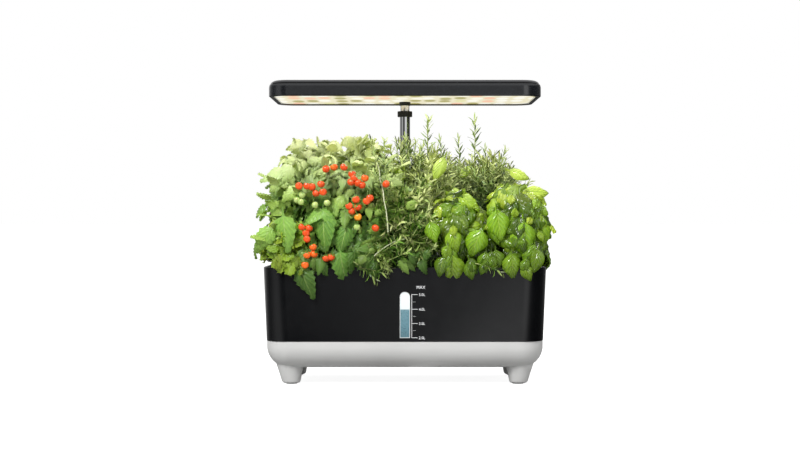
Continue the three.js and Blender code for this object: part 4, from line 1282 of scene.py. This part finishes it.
def fits(point, kind):  # whether a leaf may reach a point
    if abs(point.x) > limits["x"] or abs(point.y) > limits["y"]:
        return False
    top = limits["tops"].get(kind, limits["top"])
    shoulders = limits["shoulders"]
    if kind in shoulders["kinds"]:  # the tomatoes' outline falls away at both ends
        past = max(0, shoulders["left"] - point.x, point.x - shoulders["right"])
        top -= shoulders["fall"] * past * past
    if point.z > top:
        return False
    if (Vector((point.x, point.y)) - Vector((0, mast["y"]))).length < limits["mast"]:
        return False
    low, high, under = limits["flap"]
    if low[0] < point.x < high[0] and low[1] < point.y < high[1] and point.z < under:
        return False
    outsideX, outsideY = limits["outside"]
    return point.z >= limits["rim"] or abs(point.y) > outsideY or abs(point.x) > outsideX


def leafFits(mesh, place, kind):  # tests a few dozen of the leaf's own points
    step = max(1, len(mesh.vertices) // 48)
    return all(fits(place @ mesh.vertices[index].co, kind) for index in range(0, len(mesh.vertices), step))


# Growing a plant: stems from its pod, an inner filling painted dark as shade, an outer layer of
# leaves, and the leaves and fruit that the photograph shows

goldenTurn = 2.39996  # each next leaf stands this far round, in radians
up = Vector((0, 0, 1))
leafGreens = {
    "basil": greens["basil"], "tomato": greens["tomato"], "lettuce": greens["lettuce"],
    "tomatoSpray": greens["tomato"], "fineHerb": greens["herb"], "rosemary": greens["rosemary"],
}
reaches = {kind: shape["length"] for kind, shape in {**leaves, **sprigs}.items()}


def around(angle):
    return Vector((math.cos(angle), math.sin(angle), 0))


def between(pair, share):
    return pair[0] + (pair[1] - pair[0]) * share


def clamp(value):
    return min(1, max(0, value))


def makeStemModel():
    stem = addCone(6, 1, 0.55, 1, (0, 0.5, 0), **alongY)
    editPiece(stem)
    for cut in range(1, 6):
        bpy.ops.mesh.select_all(action="SELECT")
        bpy.ops.mesh.bisect(plane_co=(0, cut / 6, 0), plane_no=(0, 1, 0))
    shadeSmooth(stem)
    mesh = stem.data.copy()
    bpy.data.objects.remove(stem)
    return mesh


stemModel = makeStemModel()


def stemTo(start, end, radius, sag, tint=0.6, finish="stemGreen"):  # a stem that bows a little between two points
    run = end - start
    copy = stemModel.copy()
    for vertex in copy.vertices:
        x, y, z = vertex.co
        vertex.co = (x * radius, y * run.length, z * radius + sag * math.sin(math.pi * y))
    copy.transform(leafMatrix(start, run, up))
    setTint(copy, tint, 0.8)
    return newPiece("stem", copy, finishes[finish])


def shiftedSprig(kind, mesh, place, shift, shade):  # a sprig keeps its own leaf tints, moved a little, and its painted shade, scaled
    copy = mesh.copy()
    copy.transform(place)
    values = [0.0] * len(copy.vertices)
    for name, change in (("tint", lambda value: clamp(value + shift)), ("shade", lambda value: value * shade)):
        copy.attributes[name].data.foreach_get("value", values)
        copy.attributes[name].data.foreach_set("value", [change(value) for value in values])
    return newPiece("sprig", copy, leafGreens[kind])


def setLeaf(kind, root, along, face, size, tint, shade):
    place = leafMatrix(root, along, face, size)
    mesh = grower.choice(variants[kind])
    if not leafFits(mesh, place, kind):
        return []
    if kind in leaves:
        return [copyOf(mesh, place, tint, shade, leafGreens[kind])]
    return [shiftedSprig(kind, mesh, place, tint - 0.45, shade)]


def growLayer(canopy, kind, count, depth, size, hang, tints, shades, skirt=0.55):
    # leaves in even turns over a domed canopy, each turned outwards and hanging by its place
    centre, reach = Vector(canopy["centre"]), Vector(canopy["reach"])
    made = []
    for i in range(count):
        for attempt in range(7):
            height = 1 - (i + grower.uniform(0.2, 0.8)) / count * (1 + skirt)
            radial = around(i * goldenTurn + grower.uniform(-0.5, 0.5))
            ring = math.sqrt(max(0, 1 - height * height)) if height > 0 else 1
            far = grower.uniform(*depth) * (1 - 0.06 * attempt)
            point = centre + Vector((radial.x * ring * reach.x, radial.y * ring * reach.y, height * reach.z)) * far
            point.z = max(point.z, 0.153)
            outward = (radial * ring + up * max(height, -0.2)).normalized()
            side = Vector((-radial.y, radial.x, 0))
            fall = grower.uniform(*hang) * (1.15 - 0.4 * max(height, 0)) + 0.1 * attempt
            along = outward * 0.45 + radial * 0.4 - up * fall + side * grower.uniform(-0.8, 0.8)
            face = outward * 0.55 + radial * 0.8 + up * 0.35 + side * grower.uniform(-0.5, 0.5)
            scale = grower.uniform(*size) * (1 - 0.06 * attempt)
            if kind == "tomato":  # the young top leaves are smaller
                scale *= 1 - 0.35 * max(height, 0)
            root = point - along.normalized() * reaches[kind] * scale * 0.55
            root.z = max(root.z, 0.1505)
            lift = clamp(height * 0.5 + 0.5)
            tint = clamp(between(tints, lift) + grower.gauss(0, 0.22))
            # painted shade: inner and lower leaves are darker, as they stand in the others' shadow
            shade = between(shades, grower.random() * (0.55 + 0.45 * lift))
            leaf = setLeaf(kind, root, along, face, scale, tint, shade)
            made += leaf
            if leaf:
                break
    return made


def growCurtain(canopy, kind, start, end, count):  # leaves on edge, painted dark as shade, that close the view over the rim
    made = []
    for i in range(count):
        x = between((start, end), (i + grower.uniform(0.2, 0.8)) / count)
        root = Vector((x, grower.uniform(-0.006, 0.006) - 0.066, 0.150))
        along = Vector((grower.choice((-1, 1)), grower.uniform(-0.1, 0.1), grower.uniform(0, 0.25)))
        place = leafMatrix(root, along, Vector((grower.uniform(-0.2, 0.2), -1, 0.1)), grower.uniform(0.6, 0.9))
        tint, shade = grower.uniform(0.1, 0.5), grower.uniform(0.12, 0.4)
        made.append(copyOf(variants[kind][i % 3], place, tint, shade, leafGreens[kind]))
    return made


def growFringe(canopy, kind, start, end, count, size, drop, tints):
    # leaves that hang over the tank's rim along a stretch of it, some of them from higher up
    made = []
    for i in range(count):
        edge = Vector(start).lerp(Vector(end), grower.random())
        front = abs(edge.y) / (tank["rimDepth"] / 2) >= abs(edge.x) / (tank["rimWidth"] / 2)
        outward = Vector((0, math.copysign(1, edge.y), 0) if front else (math.copysign(1, edge.x), 0, 0))
        side = Vector((-outward.y, outward.x, 0))
        reach = grower.uniform(0.006, 0.0115)
        tip = Vector((*edge, 0.147 - grower.uniform(*drop))) + outward * reach
        scale = grower.uniform(*size)
        along = up - outward * 0.2 + side * grower.uniform(-0.7, 0.7)
        root = tip + along.normalized() * reaches[kind] * scale
        root.z = max(root.z, 0.1525)
        face = outward + up * 0.5 + side * grower.uniform(-0.6, 0.6)
        place = leafMatrix(root, tip - root, face, (tip - root).length / reaches[kind])
        tint = clamp(grower.uniform(*tints))
        model = grower.choice(variants[kind][:3])
        made.append(copyOf(model, place, tint, grower.uniform(0.4, 1.0), leafGreens[kind]))
    return made


def growSprigs(canopy, kind, count, lean, size, tints):  # upright sprigs that fan out to the canopy
    centre, reach, base = Vector(canopy["centre"]), Vector(canopy["reach"]), Vector((*canopy["foot"], 0.15))
    made = []
    for i in range(count):
        for attempt in range(6):
            share = math.sqrt((i + 0.5) / count) * (1 - 0.08 * attempt)
            outward = around(i * goldenTurn + grower.uniform(-0.4, 0.4))
            scale = grower.uniform(*size)
            rise = reach.z * (1 - 0.22 * share * share) * grower.uniform(0.5, 1.0)
            tip = centre + Vector((outward.x * reach.x * share, outward.y * reach.y * share, rise))
            sway = Vector((-outward.y, outward.x, 0)) * grower.uniform(-0.7, 0.7)
            along = (tip - base).normalized() + outward * grower.uniform(*lean) + sway + up * 0.2
            root = tip - along.normalized() * reaches[kind] * scale
            place = leafMatrix(root, along, outward + up * 0.1, scale)
            mesh = grower.choice(variants[kind])
            if leafFits(mesh, place, kind):
                shift = between(tints, clamp((tip.z - centre.z) / reach.z)) + grower.gauss(0, 0.1)
                made.append(shiftedSprig(kind, mesh, place, shift, grower.uniform(0.55, 1.0)))
                made.append(stemTo(base + outward * 0.004, root, 0.0009, 0.0))
                break
    return made


def growStems(canopy, count, radius):
    x, y = canopy["foot"]
    centre, reach = Vector(canopy["centre"]), Vector(canopy["reach"])
    made = [stemTo(Vector((x, y, 0.118)), Vector((x, y, 0.156)), 0.0024, 0)]
    made += growFloor(canopy)
    for i in range(count):
        angle = i * goldenTurn
        end = centre + Vector((math.cos(angle) * reach.x, math.sin(angle) * reach.y, reach.z * 0.3)) * 0.72
        made.append(stemTo(Vector((x, y, 0.152)), end, radius, 0.004))
    return made


def growFloor(canopy):  # low leaves, painted dark as shade, that close the view across the deck
    foot, reach = Vector((*canopy["foot"], 0.151)), Vector(canopy["reach"])
    made = []
    for i in range(22):
        radial = around(i * goldenTurn)
        start = foot + radial * grower.uniform(0.2, 0.55) * min(reach.x, reach.y)
        along = radial + up * grower.uniform(0.05, 0.6)
        made += setLeaf("tomato", start, along, up + radial * 0.6, grower.uniform(0.6, 0.9), 0.2, 0.25)
    return made


def hangFruit(place, finish, size=1.0):
    turn = Euler((grower.uniform(-0.5, 0.7), grower.uniform(-0.5, 0.5), grower.uniform(0, 6))).to_matrix().to_4x4()
    at = Matrix.Translation(place) @ turn @ Matrix.Scale(size, 4)
    return [copyOf(fruitBall.data, at, 0.5, 1.0, fruitSkins[finish]),
            copyOf(fruitCalyx.data, at, 0.45, 0.9, greens["tomato"])]


def growFruit(canopy):  # the fruit in front, each where the photograph shows it
    made = []
    for finish, size, spots in fruitSpots:
        for px, py in spots:
            made += hangFruit(atPixel(px, py, grower.uniform(-0.001, 0.002) - 0.0965), finish, size)
    return made


def growTrusses(canopy, *centres):  # trusses on the sides that the photograph doesn't show
    made = []
    for centre in centres:
        for i in range(6):
            hang = Vector((math.cos(i * 2.4) * 0.0055, math.sin(i * 2.4) * 0.0055, -0.0062 * (i // 2)))
            made += hangFruit(Vector(centre) + hang, "red" if i % 5 else "orange", grower.uniform(0.9, 1.05))
    return made


def placeLeaves(canopy, groups):  # leaves set by their root and tip in the photograph
    made = []
    for kind, rows in groups:
        for rootX, rootY, tipX, tipY, y, tint, shade, *width in rows:
            start = atPixel(rootX, rootY, y + 0.006)
            run = atPixel(tipX, tipY, y) - start
            face = Vector((grower.uniform(-0.25, 0.25), -1, 0.55))
            place = leafMatrix(start, run, face, run.length / reaches[kind])
            if width:
                place = place @ Matrix.Diagonal((width[0], 1, width[0], 1))
            mesh = variants[kind][grower.choice((0, 1, 2))]
            made.append(copyOf(mesh, place, tint if kind in leaves else None, shade, leafGreens[kind]))
    return made


def growTwigs(canopy, rows):
    return [stemTo(atPixel(*start, y), atPixel(*end, y), radius, 0.001, 0.9, "stemPale")
            for start, end, y, radius in rows]


depthLimits = {"front": -0.1000, "rear": 0.0975, "give": 0.2}


def pressInside(plant):  # leaf tips that stand past the box of the solids are pressed back to it
    for vertex in plant.data.vertices:
        past = vertex.co.y - min(max(vertex.co.y, depthLimits["front"]), depthLimits["rear"])
        vertex.co.y -= past * (1 - depthLimits["give"])


heroTomatoLeaves = [  # kind, then root and tip in the photograph, depth, tint, shade and, for some, width
    ("tomato", [
        (283, 216, 287, 254, -0.099, 0.62, 1.0), (272, 228, 251, 252, -0.090, 0.70, 1.0),
        (323, 214, 324, 253, -0.098, 0.30, 0.95), (347, 226, 338, 256, -0.097, 0.28, 0.9),
        (322, 210, 340, 224, -0.098, 0.55, 1.0), (322, 210, 303, 224, -0.098, 0.60, 1.0),
        (300, 268, 313, 300, -0.099, 0.22, 0.9), (340, 252, 345, 286, -0.098, 0.5, 1.0),
        (283, 170, 259, 180, -0.060, 0.65, 1.0), (291, 165, 274, 186, -0.062, 0.6, 1.0),
        (298, 188, 279, 200, -0.085, 0.95, 1.0), (302, 141, 288, 148, -0.020, 0.95, 1.0),
        (306, 140, 320, 147, -0.020, 0.95, 1.0), (330, 142, 343, 150, -0.022, 0.9, 1.0),
        (344, 140, 357, 149, -0.010, 0.95, 1.0), (352, 138, 339, 145, 0.000, 0.9, 1.0),
        (343, 178, 341, 190, -0.092, 0.45, 1.0),
    ]),
]

heroHerbSprigs = [
    ("fineHerb", [
        (388, 232, 383, 200, -0.090, 0.95, 1.0), (387, 226, 374, 204, -0.092, 0.9, 1.0),
        (387, 224, 400, 206, -0.092, 0.9, 1.0), (384, 204, 370, 186, -0.091, 0.9, 1.0),
        (384, 204, 394, 184, -0.091, 0.9, 1.0), (381, 190, 371, 170, -0.090, 0.9, 1.0),
        (381, 190, 389, 170, -0.090, 0.9, 1.0), (383, 200, 377, 163, -0.089, 0.95, 1.0),
        (354, 262, 379, 279, -0.099, 0.95, 1.0), (362, 268, 388, 272, -0.099, 0.95, 1.0),
        (376, 256, 402, 240, -0.098, 0.9, 1.0), (384, 262, 412, 252, -0.098, 0.8, 1.0),
        (398, 230, 424, 214, -0.090, 0.7, 1.0), (404, 214, 396, 178, -0.080, 0.7, 1.0),
        (414, 206, 425, 170, -0.070, 0.6, 1.0),
    ]),
    ("rosemary", [
        (382, 186, 370, 139, -0.066, 0.0, 0.6), (386, 182, 383, 137, -0.064, 0.0, 0.6),
        (410, 240, 432, 205, -0.092, 0.3, 1.0), (402, 268, 392, 224, -0.094, 0.3, 1.0),
        (420, 262, 438, 244, -0.096, 0.3, 1.0),
    ]),
]

heroBasilLeaves = [
    ("basil", [
        (510, 170, 531, 177, -0.030, 0.9, 1.0, 0.8), (524, 192, 549, 190, -0.060, 0.9, 1.0),
        (430, 222, 436, 243, -0.098, 0.5, 1.0), (452, 230, 458, 254, -0.099, 0.6, 1.0),
        (482, 230, 468, 258, -0.099, 0.5, 1.0), (497, 210, 502, 242, -0.098, 0.5, 1.0),
        (524, 222, 527, 260, -0.098, 0.5, 1.0), (538, 216, 545, 256, -0.075, 0.55, 1.0),
        (452, 255, 453, 289, -0.098, 0.6, 0.95), (470, 261, 472, 281, -0.097, 0.35, 0.9),
        (512, 254, 514, 281, -0.098, 0.55, 1.0), (525, 264, 531, 282, -0.097, 0.6, 1.0),
        (496, 250, 499, 272, -0.096, 0.3, 0.8), (486, 252, 484, 274, -0.097, 0.35, 0.85),
    ]),
    ("fineHerb", [(478, 264, 504, 270, -0.099, 0.8, 1.0)]),
    ("basil", [(444, 157, 431, 183, -0.052, 0.7, 0.9, 0.62)]),
]

heroRosemarySprigs = [
    ("rosemary", [
        (428, 168, 426, 115, 0.030, 0.3, 1.0), (474, 172, 478, 116, 0.034, 0.2, 1.0),
        (462, 184, 457, 136, 0.020, 0.3, 1.0), (484, 190, 488, 146, 0.030, 0.3, 1.0),
        (492, 186, 508, 147, 0.034, 0.3, 1.0), (444, 180, 442, 136, 0.010, 0.4, 1.0),
        (412, 176, 408, 134, 0.000, 0.5, 1.0), (418, 180, 422, 142, -0.010, 0.5, 1.0),
    ]),
    ("fineHerb", [
        (402, 172, 400, 139, 0.014, 0.9, 1.0), (408, 172, 410, 141, 0.012, 0.9, 1.0),
        (396, 176, 392, 146, 0.010, 0.9, 1.0),
    ]),
    ("rosemary", [
        (405, 174, 405, 136, 0.016, 0.5, 0.9), (399, 174, 396, 139, 0.012, 0.6, 1.0),
        (413, 172, 416, 138, 0.012, 0.6, 1.0),
    ]),
    ("fineHerb", [
        (418, 172, 421, 145, 0.008, 0.95, 1.0), (404, 186, 402, 156, 0.000, 0.9, 1.0),
        (412, 186, 414, 158, 0.000, 0.9, 1.0), (420, 192, 426, 164, -0.004, 0.8, 1.0),
        (394, 188, 388, 160, -0.004, 0.8, 1.0),
    ]),
    ("basil", [
        (404, 166, 394, 186, -0.016, 0.75, 0.85, 0.7), (470, 166, 458, 178, -0.016, 0.7, 0.7, 0.7),
    ]),
]

fruitSpots = [  # skin, size, centres in the photograph
    ("red", 1.0, [
        (299, 186), (307, 186), (312, 187), (321, 184), (316, 193), (323, 192), (344, 167), (326, 169), (352, 174),
        (358, 183), (362, 185), (354, 178), (351, 182), (356, 199.5), (349, 206), (358, 207), (352, 211),
        (366.6, 201), (302, 227), (309, 228), (306, 233), (307, 239), (326, 258), (331, 257), (386, 184),
        (375.5, 228), (370, 198),
    ]),
    ("orange", 1.0, [(358, 217)]),
    ("turning", 1.0, [(307, 255), (314, 254), (313, 247), (334, 167), (305, 265), (365, 178)]),
    ("unripe", 0.9, [(302, 195), (297, 200), (301, 202), (357, 227), (327, 203), (315, 205)]),
]

paleTwigs = [  # start and end in the photograph, depth, radius
    ((388, 232), (384, 200), -0.091, 0.0011),
    ((384, 200), (380, 180), -0.090, 0.0009),
    ((380, 180), (377, 162), -0.089, 0.0007),
    ((374, 256), (392, 243), -0.098, 0.0005),
    ((392, 243), (405, 239), -0.098, 0.0004),
]

canopies = {  # by plant: its pod, and the middle and reach of its dome of leaves
    1: {"foot": (-0.130, -0.036), "centre": (-0.143, -0.047, 0.166), "reach": (0.032, 0.047, 0.040)},
    2: {"foot": (-0.065, -0.036), "centre": (-0.078, -0.046, 0.198), "reach": (0.072, 0.050, 0.066)},
    3: {"foot": (0.000, -0.036), "centre": (0.004, -0.044, 0.188), "reach": (0.040, 0.048, 0.052)},
    4: {"foot": (0.065, -0.036), "centre": (0.064, -0.046, 0.184), "reach": (0.046, 0.050, 0.054)},
    5: {"foot": (0.130, -0.036), "centre": (0.136, -0.042, 0.192), "reach": (0.048, 0.054, 0.056)},
    6: {"foot": (-0.100, 0.036), "centre": (-0.114, 0.034, 0.224), "reach": (0.064, 0.060, 0.082)},
    7: {"foot": (-0.035, 0.036), "centre": (-0.050, 0.030, 0.224), "reach": (0.048, 0.062, 0.082)},
    8: {"foot": (0.035, 0.036), "centre": (0.038, 0.026, 0.190), "reach": (0.056, 0.058, 0.106)},
    9: {"foot": (0.100, 0.036), "centre": (0.100, 0.032, 0.190), "reach": (0.056, 0.054, 0.102)},
}


def overRim(kind, left, right, *look):  # a fringe over the front rim between two places
    return (growFringe, kind, (left, -0.0875), (right, -0.0875), *look)


def tomatoSteps(inner, outer, sprays):
    return [
        (growStems, 9, 0.0017),
        (growLayer, "tomato", inner, (0.4, 0.75), (0.75, 1.0), (0.2, 0.9), (0.0, 0.3), (0.1, 0.4), 0.7),
        (growLayer, "tomato", outer, (0.84, 1.02), (0.4, 0.85), (0.2, 1.1), (0.2, 0.75), (0.35, 1.0), 0.7),
        (growLayer, "tomatoSpray", sprays, (0.92, 1.06), (0.6, 1.0), (-0.1, 1.0), (0.3, 0.85), (0.5, 1.0), 0.65),
    ]


def basilSteps(outer):
    return [
        (growStems, 8, 0.0016),
        (growLayer, "basil", 60, (0.4, 0.75), (0.85, 1.1), (0.3, 0.9), (0.0, 0.3), (0.05, 0.3), 0.6),
        (growLayer, "basil", outer, (0.80, 1.02), (0.62, 1.0), (0.3, 1.2), (0.15, 0.65), (0.15, 1.0), 0.65),
        (growLayer, "basil", outer // 4, (0.95, 1.05), (0.3, 0.55), (-0.3, 1.0), (0.5, 0.95), (0.7, 1.0), 0.3),
    ]


def rosemarySteps(pale, tints):
    return [
        (growStems, 3, 0.0014),
        (growSprigs, "rosemary", 200, (0.0, 0.5), (0.6, 1.0), tints),
        (growSprigs, "fineHerb", pale, (0.0, 0.6), (0.6, 1.0), (0.1, 0.5)),
        (growLowLayer, "rosemary", 90, (0.5, 1.0), (0.6, 0.9), (-0.6, 0.5), (0.0, 0.4), (0.2, 0.7), 0.6),
    ]


def growLowLayer(canopy, *look):  # a flatter dome near the deck
    x, y, z = canopy["reach"]
    middleX, middleY, middleZ = canopy["centre"]
    return growLayer({"centre": (middleX, middleY, 0.190), "reach": (x, y, 0.06)}, *look)


plants = [  # name, number, slot and the steps in which it is grown, each with its own numbers
    ("lettucePlant", 1, "lettuce_leaf", [
        (growStems, 8, 0.0014),
        (growLayer, "lettuce", 60, (0.45, 0.75), (0.5, 0.7), (0.1, 0.5), (0.1, 0.4), (0.15, 0.5)),
        (growLayer, "lettuce", 150, (0.82, 1.05), (0.35, 0.62), (-0.3, 0.8), (0.25, 0.9), (0.5, 1.0), 0.6),
        overRim("lettuce", -0.160, -0.128, 14, (0.25, 0.4), (-0.002, 0.013), (0.3, 0.9)),
    ]),
    ("tomatoPlantFront", 2, "tomato_leaf", [
        *tomatoSteps(90, 130, 80),
        (placeLeaves, heroTomatoLeaves),
        (growCurtain, "tomato", -0.145, -0.026, 36),
        overRim("tomato", -0.135, -0.022, 13, (0.5, 0.8), (0.002, 0.018), (0.2, 0.8)),
        (growFruit,),
    ]),
    ("tomatoPlantLeft", 6, "tomato_leaf", [
        *tomatoSteps(90, 150, 110),
        (growTrusses, (-0.168, 0.060, 0.225), (-0.160, 0.050, 0.200), (-0.150, 0.092, 0.225),
         (-0.110, 0.096, 0.25), (-0.160, 0.07, 0.26)),
    ]),
    ("tomatoPlantRear", 7, "tomato_leaf", [
        *tomatoSteps(80, 110, 90),
        (growTrusses, (-0.055, 0.094, 0.25), (-0.030, 0.090, 0.215), (-0.078, 0.094, 0.205)),
    ]),
    ("fineHerbPlant", 3, "herb_leaf", [
        (growStems, 5, 0.0012),
        (growLayer, "tomato", 40, (0.35, 0.7), (0.7, 1.0), (0.2, 0.9), (0.0, 0.2), (0.08, 0.3), 0.7),
        (growLayer, "fineHerb", 170, (0.7, 1.05), (0.6, 0.95), (-0.8, 0.8), (0.3, 1.0), (0.6, 1.0), 0.6),
        (placeLeaves, heroHerbSprigs),
        (growTwigs, paleTwigs),
        (growCurtain, "tomato", -0.028, 0.030, 18),
        overRim("tomato", -0.022, 0.030, 6, (0.3, 0.65), (-0.004, 0.012), (0.3, 0.9)),
        overRim("fineHerb", -0.030, 0.030, 6, (0.4, 0.7), (-0.004, 0.006), (0.5, 0.9)),
    ]),
    ("basilPlantInner", 4, "basil_leaf", [
        *basilSteps(95),
        (growCurtain, "basil", 0.028, 0.090, 20),
        overRim("basil", 0.032, 0.096, 6, (0.4, 0.8), (-0.008, 0.014), (0.1, 0.6)),
    ]),
    ("basilPlantOuter", 5, "basil_leaf", [
        *basilSteps(120),
        (placeLeaves, heroBasilLeaves),
        (growFringe, "basil", (0.175, -0.045), (0.175, 0.005), 5, (0.4, 0.6), (0.0, 0.012), (0.3, 0.8)),
        (growCurtain, "basil", 0.090, 0.150, 20),
        overRim("basil", 0.098, 0.160, 6, (0.4, 0.8), (-0.008, 0.014), (0.1, 0.6)),
    ]),
    ("rosemaryPlantTall", 8, "rosemary_leaf", [
        *rosemarySteps(70, (0.0, 0.4)),
        (placeLeaves, heroRosemarySprigs),
    ]),
    ("rosemaryPlantSide", 9, "rosemary_leaf", rosemarySteps(24, (-0.15, 0.2))),
]

for name, number, slot, steps in plants:
    parts = []
    for step, *look in steps:
        parts += step(canopies[number], *look)
    plant = joinAll(parts)
    pressInside(plant)
    finishPiece(plant, name, "deck", slot, stands=[f"plant_{number}"])
    print(name, "grown")

bpy.data.objects.remove(fruitBall)
bpy.data.objects.remove(fruitCalyx)
